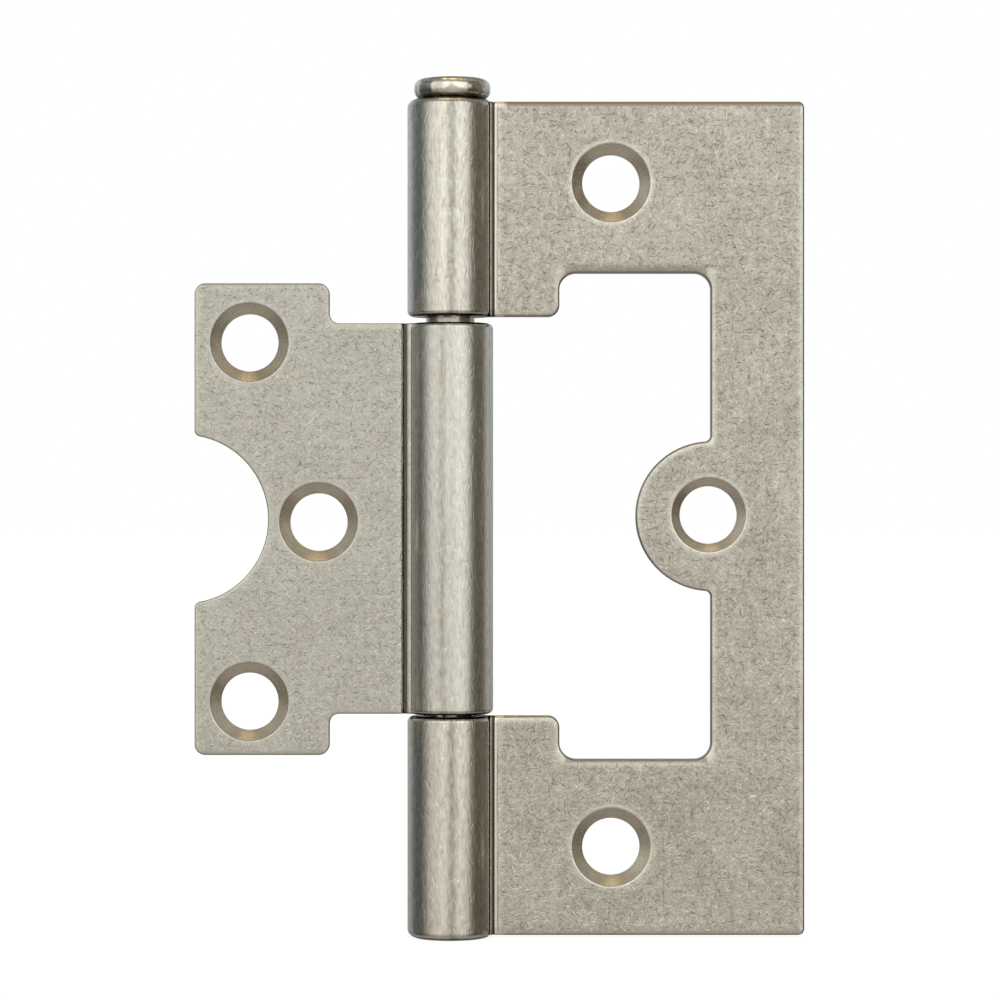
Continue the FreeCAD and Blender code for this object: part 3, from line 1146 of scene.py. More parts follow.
class Effect:
    """A shader node group that finishes share, built when it is first asked for."""

    name = "effect"
    inputs: dict[str, tuple[str, float]] = {}
    outputs: tuple[tuple[str, str], ...] = ()

    @classmethod
    def group(cls) -> bpy.types.NodeTree:
        """The node group, made once.

        Returns:
            The node tree.
        """
        made = bpy.data.node_groups.get(cls.name)
        if made:
            return made
        tree = bpy.data.node_groups.new(cls.name, "ShaderNodeTree")
        for name, (kind, default) in cls.inputs.items():
            socket = tree.interface.new_socket(name, in_out="INPUT", socket_type=f"NodeSocket{kind}")
            if kind == "Float":
                socket.default_value = default
        for name, kind in cls.outputs:
            tree.interface.new_socket(name, in_out="OUTPUT", socket_type=f"NodeSocket{kind}")
        graph = Graph(tree)
        into = graph.node("NodeGroupInput")
        out = graph.node("NodeGroupOutput")
        for name, socket in cls.wire(graph, {s.name: s for s in into.outputs if s.name}).items():
            graph.set(out.inputs[name], socket)
        return tree

    @classmethod
    def wire(cls, graph: Graph, given: dict[str, bpy.types.NodeSocket]) -> dict[str, bpy.types.NodeSocket]:
        """Wires the group's own tree from its inputs by name, and gives what goes to each output."""
        raise NotImplementedError


class Unrolled(Effect):
    """Lays the metal out flat in millimetres, with the knuckles unrolled, and masks the knuckles."""

    name = "unrolled_surface"
    inputs = {"Place": ("Vector", 0.0)}
    outputs = (("Surface", "Vector"), ("Barrel", "Float"), ("Radius", "Float"), ("From pin", "Vector"))
    knuckle_radius = 5.15
    knuckle_fade = (5.2, 5.9)

    @classmethod
    def wire(cls, graph: Graph, given: dict[str, bpy.types.NodeSocket]) -> dict[str, bpy.types.NodeSocket]:
        """Finds the radius and angle about the pin.

        Args:
            graph: the group's own tree.
            given: the place in metres.

        Returns:
            The flat place, the knuckle's mask, the radius and the place from the pin.
        """
        place = graph.vector("SCALE", given["Place"], scale=1 / MM)
        place = graph.vector("SUBTRACT", place, tuple(PIN_AXIS))
        x, y, z = graph.split(place)
        radius = graph.math("SQRT", graph.math("ADD", graph.product(x, x), graph.product(y, y)))
        barrel = graph.ramp(radius, *cls.knuckle_fade, 1.0, 0.0)
        turn = graph.math("ARCTAN2", x, graph.math("MULTIPLY", y, -1.0))
        arc = graph.math("MULTIPLY", turn, cls.knuckle_radius)
        across = graph.math("ADD", graph.math("MULTIPLY", arc, barrel),
                            graph.math("MULTIPLY", x, graph.math("SUBTRACT", 1.0, barrel)))
        return {"Surface": graph.join(across, z, 0.0), "Barrel": barrel, "Radius": radius, "From pin": place}


class TumbleMarks(Effect):
    """Short curved dents that the tumbling media leave, each cell with its own turn and bend."""

    name = "tumble_marks"
    inputs = {"Surface": ("Vector", 0.0), "Spacing": ("Float", 0.8), "Half width": ("Float", 0.07),
              "Share": ("Float", 0.5)}
    outputs = (("Dent", "Float"), ("Tone", "Float"))
    scatter = 0.8
    half_length = 0.44

    @classmethod
    def wire(cls, graph: Graph, given: dict[str, bpy.types.NodeSocket]) -> dict[str, bpy.types.NodeSocket]:
        """Draws one bent stroke in each cell.

        Args:
            graph: the group's own tree.
            given: the flat place, and the strokes' spacing, width and share.

        Returns:
            How deep a dent is, and its light or dark tone.
        """
        place = graph.vector("SCALE", given["Surface"], scale=graph.math("DIVIDE", 1.0, given["Spacing"]))
        cells = graph.node("TexVoronoi", {"Vector": place, "Scale": 1.0, "Randomness": cls.scatter},
                           voronoi_dimensions="2D")
        chance, bend, kind = graph.split(cells.outputs["Color"])
        local = graph.vector("SUBTRACT", place, cells.outputs["Position"])
        turn = graph.math("MULTIPLY", chance, 2 * math.pi)
        turned = graph.node("VectorRotate", {"Vector": local, "Angle": turn}, rotation_type="Z_AXIS").outputs[0]
        along, across, _ = graph.split(turned)
        bow = graph.math("SUBTRACT", bend, 0.5)
        off = graph.math("SUBTRACT", across, graph.math("MULTIPLY", bow, graph.math("MULTIPLY", along, along)))
        off = graph.math("DIVIDE", graph.math("MULTIPLY", off, given["Spacing"]), given["Half width"])
        far = graph.math("ADD", graph.math("POWER", graph.math("DIVIDE", along, cls.half_length), 2.0),
                         graph.math("MULTIPLY", off, off))
        stroke = graph.math("SUBTRACT", 1.0, far, clamp=True)
        dent = graph.math("MULTIPLY", stroke, graph.math("LESS_THAN", kind, given["Share"]))
        sign = graph.math("SUBTRACT", graph.math("MULTIPLY", graph.math("GREATER_THAN", bend, 0.5), 2.0), 1.0)
        return {"Dent": dent, "Tone": graph.math("MULTIPLY", dent, sign)}


class Hairlines(Effect):
    """Fine curved scratches between the dents, light and dark, along the level lines of a noise."""

    name = "hairlines"
    inputs = {"Surface": ("Vector", 0.0)}
    outputs = (("Tone", "Float"),)
    scale = 1.25
    half_width = 0.035
    shown = ((0.47, 0.57), (0.53, 0.43))

    @classmethod
    def wire(cls, graph: Graph, given: dict[str, bpy.types.NodeSocket]) -> dict[str, bpy.types.NodeSocket]:
        """Two sets of lines, each shown where a third noise lets it.

        Args:
            graph: the group's own tree.
            given: the flat place.

        Returns:
            The lines' light or dark tone.
        """
        noise = graph.noise(given["Surface"], cls.scale, 1.0, noise_dimensions="2D").outputs["Color"]
        light_field, where, dark_field = graph.split(noise)
        lines = []
        for level, (low, high) in zip((light_field, dark_field), cls.shown):
            off = graph.math("ABSOLUTE", graph.math("SUBTRACT", level, 0.5))
            line = graph.math("SUBTRACT", 1.0, graph.math("DIVIDE", off, cls.half_width), clamp=True)
            lines.append(graph.math("MULTIPLY", line, graph.ramp(where, low, high)))
        return {"Tone": graph.math("SUBTRACT", lines[0], lines[1])}


class Clouding(Effect):
    """The uneven tone and tint of tumbled plate: faint clouds, mottling and fine grain."""

    name = "clouding"
    inputs = {"Surface": ("Vector", 0.0)}
    outputs = (("Broad", "Float"), ("Middle", "Float"), ("Fine", "Float"), ("Warmth", "Float"))
    layers = (("Broad", 0.13, 2.0), ("Middle", 0.85, 3.0), ("Fine", 2.8, 2.0))
    contrast = 0.6

    @classmethod
    def wire(cls, graph: Graph, given: dict[str, bpy.types.NodeSocket]) -> dict[str, bpy.types.NodeSocket]:
        """Three noises of different scale.

        Args:
            graph: the group's own tree.
            given: the flat place.

        Returns:
            The three noises and one for the tint.
        """
        found = {}
        for name, scale, detail in cls.layers:
            noise = graph.noise(given["Surface"], scale, detail, noise_dimensions="2D")
            noise.inputs["Roughness"].default_value = cls.contrast
            found[name] = noise.outputs[0]
            if name == "Middle":
                found["Warmth"] = graph.split(noise.outputs["Color"])[1]
        return found


class BoxDistance(Effect):
    """How far a point lies outside a rectangle on the unrolled metal, less than nothing inside it."""

    name = "box_distance"
    inputs = {"Surface": ("Vector", 0.0), "Centre": ("Vector", 0.0), "Half": ("Vector", 0.0)}
    outputs = (("Distance", "Float"),)

    @classmethod
    def wire(cls, graph: Graph, given: dict[str, bpy.types.NodeSocket]) -> dict[str, bpy.types.NodeSocket]:
        """Folds the plane into one corner of the rectangle.

        Args:
            graph: the group's own tree.
            given: the flat place, and the rectangle's centre and half size.

        Returns:
            The distance.
        """
        off = graph.vector("ABSOLUTE", graph.vector("SUBTRACT", given["Surface"], given["Centre"]))
        off = graph.vector("SUBTRACT", off, given["Half"])
        x, y, _ = graph.split(off)
        beyond = graph.vector("MAXIMUM", off, (0, 0, 0))
        out = graph.node("VectorMath", {0: beyond}, operation="LENGTH").outputs["Value"]
        inside = graph.math("MINIMUM", graph.math("MAXIMUM", x, y), 0.0)
        return {"Distance": graph.math("ADD", out, inside)}


class Facing(Enum):
    """Which way a level cut edge faces."""

    UP = 1.0
    DOWN = -1.0


@dataclass(frozen=True)
class Ledge:
    """A level cut edge with painted shade along its rounded rim, in millimetres from the pin.

    The painted shade is full up to one distance from the edge and gone at another.
    """

    z: float
    facing: Facing
    low_x: float
    high_x: float
    full: float
    gone: float
    strength: float
    fade: float = 0.4
    overhang: float = 0.3

    def edge_shade(self, graph: Graph, x: Input, z: Input) -> bpy.types.NodeSocket:
        """How much painted shade a place gets.

        Args:
            graph: the material's graph.
            x: how far the place is from the pin, towards the leaf.
            z: its height.

        Returns:
            The share of painted shade.
        """
        inward = graph.math("MULTIPLY_ADD", z, -self.facing.value, self.z * self.facing.value)
        return graph.product(
            graph.ramp(inward, self.full, self.gone, self.strength, 0.0),
            graph.math("GREATER_THAN", inward, -self.overhang),
            graph.ramp(x, self.low_x, self.low_x + self.fade),
            graph.ramp(x, self.high_x - self.fade, self.high_x, 1.0, 0.0),
        )


@dataclass(frozen=True)
class Blank:
    """Where a leaf's cut edges are, in millimetres from the pin, for the wear and the painted shade along them.
    """

    side: int
    crease: float
    crease_reach: float
    solids: tuple[tuple[float, float, float, float], ...]
    voids: tuple[tuple[float, float, float, float], ...]
    disc: tuple[float, float, float]
    disc_is_metal: bool
    holes: tuple[tuple[float, float, float], ...]
    ledges: tuple[Ledge, ...]
    # How much residue and painted shade the land beside the tip gets.
    land_dirt_and_shade: float
    # Where a painted dark reflection runs along the knuckle, and how dark it is.
    streak: float
    dark_reflection_depth: float

    def edge_distance(self, graph: Graph, surface: bpy.types.NodeSocket) -> bpy.types.NodeSocket:
        """How far inside the metal a point is.

        Args:
            graph: the material's graph.
            surface: the unrolled place.

        Returns:
            The distance to the nearest cut edge.
        """

        def box(sizes: tuple[float, float, float, float]) -> bpy.types.NodeSocket:
            """The distance outside one rectangle.

            Args:
                sizes: its low and high x and its low and high z.

            Returns:
                The distance, less than nothing inside it.
            """
            low_x, high_x, low_z, high_z = sizes
            centre = ((low_x + high_x) / 2, (low_z + high_z) / 2, 0)
            half = ((high_x - low_x) / 2, (high_z - low_z) / 2, 1)
            return graph.use(BoxDistance.group(), surface=surface, centre=centre, half=half).outputs[0]

        def circle(sizes: tuple[float, float, float]) -> bpy.types.NodeSocket:
            """The distance outside one circle."""
            x, z, radius = sizes
            return graph.math("SUBTRACT", graph.distance(surface, (x, z, 0)), radius)

        disc = circle(self.disc)
        metal = box(self.solids[0])
        for sizes in self.solids[1:]:
            metal = graph.math("MINIMUM", metal, box(sizes))
        for sizes in self.voids:
            gap = box(sizes)
            if self.disc_is_metal:
                gap = graph.math("MAXIMUM", gap, graph.math("MULTIPLY", disc, -1.0))
            metal = graph.math("MAXIMUM", metal, graph.math("MULTIPLY", gap, -1.0))
        if not self.disc_is_metal:
            metal = graph.math("MAXIMUM", metal, graph.math("MULTIPLY", disc, -1.0))
        for sizes in self.holes:
            metal = graph.math("MAXIMUM", metal, graph.math("MULTIPLY", circle(sizes), -1.0))
        return graph.math("MULTIPLY", metal, -1.0)


def bare_metal(name: str) -> tuple[bpy.types.Material, Graph, bpy.types.Node, bpy.types.Node]:
    """Starts a material of bare metal.

    Args:
        name: the material's name.

    Returns:
        The material, its graph, its shader and the node that unrolls each place.
    """
    material = bpy.data.materials.new(name)
    material.use_nodes = True
    graph = Graph(material.node_tree)
    shader = material.node_tree.nodes["Principled BSDF"]
    shader.inputs["Metallic"].default_value = 1.0
    unrolled = graph.use(Unrolled.group(), place=graph.node("TexCoord").outputs["Object"])
    return material, graph, shader, unrolled


@dataclass(frozen=True)
class TumbledNickel:
    """Nickel plate from the tumbling barrel: scuffed on the flats and burnished on the knuckles.

    Its tone runs from dark to light as the sum of the shares below. Lengths are in millimetres from the
    pin, and the depth of the dents is in metres.
    """

    name: str
    blank: Blank
    scuffing: float = 0.92
    clouding: float = 0.90
    tone: float = 0.37
    barrel_tone: float = 0.72
    wear: float = 0.30
    # How much lighter the strip beside the crease is: a painted highlight.
    lip_highlight: float = 0.24
    broad_share: float = 0.34
    middle_share: float = 0.50
    fine_share: float = 0.60
    marks_share: float = 0.36
    hairline_share: float = 0.6
    light: tuple[float, float, float, float] = (0.785, 0.748, 0.665, 1.0)
    dark: tuple[float, float, float, float] = (0.272, 0.248, 0.203, 1.0)
    cool: tuple[float, float, float, float] = (0.985, 1.000, 1.008, 1.0)
    warm: tuple[float, float, float, float] = (1.012, 0.996, 0.980, 1.0)
    # The brown of the painted shade on the rounded cut edges.
    edge_shade: tuple[float, float, float, float] = (0.200, 0.174, 0.134, 1.0)
    # The darkest colour, for polishing residue and painted shade in the seam and painted shade on the knuckle
    # ends, and how strong each is.
    grime_and_shade: tuple[float, float, float, float] = (0.060, 0.050, 0.036, 1.0)
    seam_dirt_and_shade: float = 0.92
    knuckle_end_dirt_and_shade: float = 0.85
    # How strong the painted shade is on the rims of the front face.
    rim_shade_share: float = 0.62
    flat_roughness: float = 0.35
    barrel_roughness: float = 0.20
    cloud_polish: float = 0.14
    wear_polish: float = 0.10
    dent_depth: float = 0.000018
    grain_height: float = 1.2
    drawn_out: float = 0.70
    # The width, sway and pace of the painted dark reflection along the knuckle.
    streak_width: float = 0.50
    streak_sway: float = 0.7
    streak_pace: float = 0.25
    worn_reach: tuple[float, float] = (0.1, 0.95)
    worn_smooth: float = 0.8
    barrel_smooth: float = 0.62
    barrel_calm: float = 0.6
    barrel_grain: float = 0.5
    crease_rub: float = 3.6
    tint_range: tuple[float, float] = (0.3, 0.7)
    wander: float = 0.5
    wander_scale: float = 0.7
    mark_layers: tuple[tuple[tuple[float, float, float], float, float], ...] = (
        ((0.0, 0.0, 0.0), 1.70, 0.75),
        ((13.7, 5.1, 0.0), 1.25, 0.85),
        ((-7.3, 21.9, 0.0), 0.95, 0.85),
        ((41.1, -17.7, 0.0), 0.70, 0.80),
    )
    lip_rise: tuple[float, float] = (0.05, 0.3)
    lip_fall: tuple[float, float] = (0.4, 1.5)
    edge_drop: tuple[float, float] = (-1.062, -0.99)
    edge_side: tuple[float, float] = (6.3, 6.6)
    front_only: tuple[float, float] = (0.2, 0.9)
    seam_drop: tuple[float, float] = (-1.00, -0.78)
    seam_side: tuple[float, float] = (2.4, 3.2)
    seam_start: float = 0.1
    land_side: tuple[float, float] = (4.2, 4.5)
    land_end: float = 0.06
    land_front: tuple[float, float] = (-1.35, -1.25)
    # Where the painted shade on the knuckle ends starts and fades, how much less the outer ends get, and how
    # its edge wavers.
    outer_height: float = 48.0
    outer_end_less_shade: float = 0.14
    end_shade_wobble: float = 0.24
    end_shade_wobble_scale: float = 1.1
    end_radii: tuple[float, float] = (4.98, 5.17)
    end_side: tuple[float, float] = (4.5, 4.7)

    def material(self) -> bpy.types.Material:
        """Builds the finish.

        Returns:
            The material.
        """
        material, graph, shader, unrolled = bare_metal(self.name)
        surface, barrel = unrolled.outputs["Surface"], unrolled.outputs["Barrel"]
        flat = graph.math("SUBTRACT", 1.0, barrel)
        along = graph.math("MULTIPLY_ADD", barrel, -self.drawn_out, 1.0)
        drawn = graph.vector("MULTIPLY", surface, graph.join(1.0, along, 1.0))
        clouds = graph.use(Clouding.group(), surface=drawn)
        broad, middle, fine = (graph.math("SUBTRACT", clouds.outputs[name], 0.5)
                               for name in ("Broad", "Middle", "Fine"))
        marks, dent = self._marks(graph, drawn)
        worn = graph.ramp(self.blank.edge_distance(graph, surface), *self.worn_reach, 1.0, 0.0)
        worn = graph.product(worn, flat)
        scuffed = graph.product(graph.math("MULTIPLY_ADD", worn, -self.worn_smooth, 1.0),
                                graph.math("MULTIPLY_ADD", barrel, -self.barrel_smooth, 1.0))
        # The strip beside the crease is rubbed smoother, and lightened as a painted highlight.
        lip = self._lip_rub_and_highlight(graph, unrolled)

        mottling = graph.product(middle, graph.math("MULTIPLY_ADD", barrel, -self.barrel_calm, 1.0))
        grain = graph.product(fine, graph.math("MULTIPLY_ADD", barrel, self.barrel_grain, 1.0))
        factor = self._sum(graph, self.tone, (
            (broad, self.broad_share * self.clouding),
            (mottling, self.middle_share * self.clouding),
            (grain, self.fine_share * self.scuffing),
            (graph.product(marks, scuffed), self.marks_share * self.scuffing),
            (worn, self.wear),
            (lip, self.lip_highlight),
            (barrel, self.barrel_tone - self.tone),
            # A painted dark reflection along the knuckle.
            (self._dark_reflection_streak(graph, unrolled, barrel), -1.0),
        ))
        factor = graph.math("MAXIMUM", graph.math("MINIMUM", factor, 1.0), 0.0)
        tint = graph.mix(graph.ramp(clouds.outputs["Warmth"], *self.tint_range), self.cool, self.warm)
        metal = graph.vector("MULTIPLY", graph.mix(factor, self.dark, self.light), tint)
        # Painted shade on the rounded cut edges, where they turn away from the light.
        metal = graph.mix(self._shaded_edges(graph, unrolled, flat), metal, self.edge_shade)
        # Darker in the crease, the seam and on the knuckle ends: polishing residue, and painted shade where the
        # parts shade each other.
        dirt_and_shade = graph.math("MAXIMUM", self._crease_dirt_and_shade(graph, unrolled), self._knuckle_end_dirt_and_shade(graph, unrolled, barrel))
        graph.set(shader.inputs["Base Color"], graph.mix(dirt_and_shade, metal, self.grime_and_shade))
        graph.set(shader.inputs["Roughness"], self._sum(graph, self.flat_roughness, (
            (barrel, self.barrel_roughness - self.flat_roughness),
            (middle, -self.cloud_polish),
            (worn, -self.wear_polish),
            (lip, -self.wear_polish),
        )))
        rubbed = graph.math("MULTIPLY_ADD", graph.product(barrel, flat), -self.crease_rub, 1.0)
        rough_skin = graph.math("MULTIPLY_ADD", fine, self.grain_height, graph.math("MULTIPLY", dent, -1.0))
        height = graph.product(rough_skin, scuffed, rubbed)
        bump = graph.node("Bump", {"Strength": 1.0, "Distance": self.dent_depth, "Height": height})
        graph.set(shader.inputs["Normal"], bump.outputs[0])
        return material

    @staticmethod
    def _sum(graph: Graph, base: float, shares: Sequence[tuple[Input, float]]) -> Input:
        """A number to which values are added, each by its share.

        Args:
            graph: the material's graph.
            base: the number to start from.
            shares: each value and its share.

        Returns:
            The sum.
        """
        total: Input = base
        for value, share in shares:
            total = graph.math("MULTIPLY_ADD", value, share, total)
        return total

    def _marks(self, graph: Graph,
               surface: bpy.types.NodeSocket) -> tuple[bpy.types.NodeSocket, bpy.types.NodeSocket]:
        """Layers of tumbling marks and hairlines.

        Args:
            graph: the material's graph.
            surface: the unrolled place.

        Returns:
            Their light and dark tone, and their depth.
        """
        wobble = graph.noise(surface, self.wander_scale, 1.0).outputs["Color"]
        wander = graph.vector("ADD", surface, graph.vector("SCALE", wobble, scale=self.wander))
        hairlines = graph.use(Hairlines.group(), surface=wander).outputs["Tone"]
        tone = graph.math("MULTIPLY", hairlines, self.hairline_share)
        dent: Input = 0.0
        for shift, spacing, share in self.mark_layers:
            layer = graph.use(TumbleMarks.group(), surface=graph.vector("ADD", wander, shift), spacing=spacing,
                              share=share)
            tone = graph.math("ADD", tone, layer.outputs["Tone"])
            dent = graph.math("ADD", dent, layer.outputs["Dent"])
        return tone, dent

    def _towards_leaf(self, graph: Graph, unrolled: bpy.types.Node) -> tuple[bpy.types.NodeSocket, ...]:
        """The place from the pin in three parts, with x counted towards the leaf."""
        x, y, z = graph.split(unrolled.outputs["From pin"])
        return graph.math("MULTIPLY", x, float(self.blank.side)), y, z

    def _dark_reflection_streak(self, graph: Graph, unrolled: bpy.types.Node,
                barrel: bpy.types.NodeSocket) -> bpy.types.NodeSocket:
        """A painted dark reflection: a darker stripe along the knuckle.

        Args:
            graph: the material's graph.
            unrolled: the node that unrolls each place.
            barrel: the knuckle's mask.

        Returns:
            How much darker it is.
        """
        x, y, z = graph.split(unrolled.outputs["From pin"])
        height = graph.join(0.0, 0.0, graph.math("MULTIPLY", z, self.streak_pace))
        sway = graph.noise(height, 1.0, 2.0).outputs[0]
        middle = graph.math("MULTIPLY_ADD", sway, self.streak_sway, self.blank.streak - self.streak_sway / 2)
        off = graph.math("DIVIDE", graph.math("SUBTRACT", x, middle), self.streak_width)
        band = graph.math("POWER", math.e, graph.math("MULTIPLY", graph.math("MULTIPLY", off, off), -1.0))
        return graph.product(band, self.blank.dark_reflection_depth, barrel, graph.math("LESS_THAN", y, 0.0))

    def _lip_rub_and_highlight(self, graph: Graph, unrolled: bpy.types.Node) -> bpy.types.NodeSocket:
        """The strip of the leaf beside the crease, rubbed by the rolling tool: smoother, and lightened as a
        painted highlight.

        Args:
            graph: the material's graph.
            unrolled: the node that unrolls each place.

        Returns:
            Its mask.
        """
        x = self._towards_leaf(graph, unrolled)[0]
        off = graph.math("SUBTRACT", x, self.blank.crease)
        return graph.product(graph.ramp(off, *self.lip_rise), graph.ramp(off, *self.lip_fall, 1.0, 0.0))

    def _shaded_edges(self, graph: Graph, unrolled: bpy.types.Node,
                   flat: bpy.types.NodeSocket) -> bpy.types.NodeSocket:
        """Painted shade: the brown lines where the cut edges turn away from the front face.

        Args:
            graph: the material's graph.
            unrolled: the node that unrolls each place.
            flat: the mask of all but the knuckles.

        Returns:
            The share of painted shade.
        """
        x, y, z = self._towards_leaf(graph, unrolled)
        share = graph.product(graph.ramp(y, *self.edge_drop, 0.0, self.rim_shade_share),
                              graph.ramp(x, *self.edge_side))
        for ledge in self.blank.ledges:
            share = graph.math("MAXIMUM", share, ledge.edge_shade(graph, x, z))
        return graph.product(share, graph.ramp(y, *self.front_only, 1.0, 0.0), flat)

    def _crease_dirt_and_shade(self, graph: Graph, unrolled: bpy.types.Node) -> bpy.types.NodeSocket:
        """Polishing residue and painted shade in the crease and the seam, and less of both on the land.

        Args:
            graph: the material's graph.
            unrolled: the node that unrolls each place.

        Returns:
            The share of residue and painted shade.
        """
        x, y, _ = self._towards_leaf(graph, unrolled)
        crease = self.blank.crease
        shallow = graph.ramp(y, *self.front_only, 1.0, 0.0)
        beside = graph.product(
            graph.ramp(x, *self.seam_side),
            graph.ramp(x, crease + self.seam_start, crease + self.blank.crease_reach, 1.0, 0.0),
        )
        # Deep in the crease and the seam: polishing residue, and painted shade where they lie in shadow.
        deep = graph.product(graph.ramp(y, *self.seam_drop), shallow, beside, self.seam_dirt_and_shade)
        # The land beside the tip's corner gets a lighter share of the same residue and painted shade.
        on_land = graph.product(graph.ramp(x, *self.land_side),
                                graph.ramp(x, crease - self.land_end, crease, self.blank.land_dirt_and_shade, 0.0))
        return graph.math("MAXIMUM", deep, graph.product(on_land, graph.ramp(y, *self.land_front), shallow))

    def _knuckle_end_dirt_and_shade(self, graph: Graph, unrolled: bpy.types.Node,
                      barrel: bpy.types.NodeSocket) -> bpy.types.NodeSocket:
        """Painted shade on the end faces of the knuckles, which rub on each other and shade each other, with
        some polishing residue.

        Args:
            graph: the material's graph.
            unrolled: the node that unrolls each place.
            barrel: the knuckle's mask.

        Returns:
            The share of painted shade and residue.
        """
        x, _, z = self._towards_leaf(graph, unrolled)
        # The outer ends have no knuckle beside them, so they get less painted shade.
        outer_end = graph.math("GREATER_THAN", graph.math("ABSOLUTE", z), self.outer_height)
        inward = graph.math("MULTIPLY_ADD", outer_end, self.outer_end_less_shade, unrolled.outputs["Radius"])
        end_shade_wobble = graph.noise(unrolled.outputs["From pin"], self.end_shade_wobble_scale, 2.0).outputs[0]
        inward = graph.math("MULTIPLY_ADD", end_shade_wobble, self.end_shade_wobble, inward)
        return graph.product(graph.ramp(inward, *self.end_radii, self.knuckle_end_dirt_and_shade, 0.0),
                             graph.ramp(x, *self.end_side, 1.0, 0.0), barrel)


@dataclass(frozen=True)
class TurnedNickel:
    """Plate over the fine rings that the countersinking tool leaves. The pitch is in millimetres."""

    name: str
    holes: tuple[tuple[float, float, float], ...]
    light: tuple[float, float, float, float] = (0.700, 0.640, 0.535, 1.0)
    dark: tuple[float, float, float, float] = (0.480, 0.430, 0.345, 1.0)
    tone: float = 0.55
    band_share: float = 0.9
    smudge_share: float = 1.1
    ring_share: float = 0.06
    roughness: float = 0.25
    smudge_roughness: float = 0.12
    pitch: float = 0.11
    waver: float = 0.05
    waver_scale: float = 0.8
    band_scale: float = 2.2
    smudge_scale: float = 0.55
    far_off: float = 100.0
    ring_depth: float = 0.0000032

    def material(self) -> bpy.types.Material:
        """Builds the finish.

        Returns:
            The material.
        """
        material, graph, shader, unrolled = bare_metal(self.name)
        x, y, z = graph.split(unrolled.outputs["From pin"])
        flat = graph.join(x, z, 0.0)
        solid = graph.join(x, z, y)
        nearest: Input = self.far_off
        for hole_x, hole_z, _ in self.holes:
            nearest = graph.math("MINIMUM", nearest, graph.distance(flat, (hole_x, hole_z, 0)))
        waver = graph.noise(solid, self.waver_scale, 1.0).outputs[0]
        turns = graph.math("DIVIDE", graph.math("MULTIPLY_ADD", waver, self.waver, nearest), self.pitch)
        ring = graph.math("SINE", graph.math("MULTIPLY", turns, 2 * math.pi))
        band = graph.noise(graph.join(nearest, 0.0, 0.0), self.band_scale, 3.0).outputs[0]
        smudge = graph.noise(solid, self.smudge_scale, 3.0).outputs[0]
        factor = graph.math("MULTIPLY_ADD", graph.math("SUBTRACT", band, 0.5), self.band_share, self.tone)
        factor = graph.math("MULTIPLY_ADD", graph.math("SUBTRACT", smudge, 0.5), self.smudge_share, factor)
        factor = graph.math("MULTIPLY_ADD", ring, self.ring_share, factor, clamp=True)
        graph.set(shader.inputs["Base Color"], graph.mix(factor, self.dark, self.light))
        graph.set(shader.inputs["Roughness"], graph.math("MULTIPLY_ADD", smudge, self.smudge_roughness,
                                                         self.roughness - self.smudge_roughness / 2))
        bump = graph.node("Bump", {"Strength": 1.0, "Distance": self.ring_depth, "Height": ring})
        graph.set(shader.inputs["Normal"], bump.outputs[0])
        return material


@dataclass(frozen=True)
class PolishedNickel:
    """The pin's plate: its head polished by the tumbling, its shank and the head's foot rougher and darkened
    with painted shade.
    """

    seat: float
    name: str = "polished_nickel"
    light: tuple[float, float, float, float] = (0.800, 0.765, 0.680, 1.0)
    dark: tuple[float, float, float, float] = (0.500, 0.465, 0.390, 1.0)
    # The darkest colour, for the painted shade on the shank and the head's foot.
    grime_and_shade: tuple[float, float, float, float] = (0.150, 0.128, 0.088, 1.0)
    tone: float = 0.66
    contrast: float = 2.4
    # How much the shank and the head's foot darken with painted shade and turn rougher.
    shank_dull_and_shade: float = 0.42
    foot_dull_and_shade: float = 0.35
    foot_reach: float = 0.9
    shank_top: tuple[float, float] = (-0.3, -0.05)
    mottle_scale: float = 0.9
    knock_scale: float = 0.75
    patches: tuple[float, float] = (0.2, 0.6)
    patch_dull: tuple[float, float] = (0.6, 1.3)
    roughness: float = 0.13
    dull_roughness: float = 0.16
    knock_depth: float = 0.0002

    def material(self) -> bpy.types.Material:
        """Builds the finish.

        Returns:
            The material.
        """
        material, graph, shader, unrolled = bare_metal(self.name)
        place = unrolled.outputs["From pin"]
        z = graph.split(place)[2]
        mottle = graph.noise(place, self.mottle_scale, 4.0).outputs[0]
        knocks = graph.noise(place, self.knock_scale, 1.0).outputs[0]
        low, high = self.shank_top
        # The shank between the knuckles and the foot of the head: painted shade, and a rougher finish.
        shank = graph.ramp(z, self.seat + low, self.seat + high, self.shank_dull_and_shade, 0.0)
        foot = graph.ramp(z, self.seat, self.seat + self.foot_reach, self.foot_dull_and_shade, 0.0)
        patchy = graph.ramp(mottle, *self.patches, *self.patch_dull)
        dull_and_shaded = graph.product(graph.math("MAXIMUM", shank, foot), patchy)
        uneven = graph.math("SUBTRACT", mottle, 0.5)
        tone = graph.math("MULTIPLY_ADD", uneven, self.contrast, self.tone, clamp=True)
        metal = graph.mix(tone, self.dark, self.light)
        graph.set(shader.inputs["Base Color"], graph.mix(graph.math("MINIMUM", dull_and_shaded, 1.0), metal, self.grime_and_shade))
        rough = graph.math("MULTIPLY_ADD", dull_and_shaded, self.dull_roughness, self.roughness)
        graph.set(shader.inputs["Roughness"], rough)
        bump = graph.node("Bump", {"Strength": 1.0, "Distance": self.knock_depth, "Height": knocks})
        graph.set(shader.inputs["Normal"], bump.outputs[0])
        return material


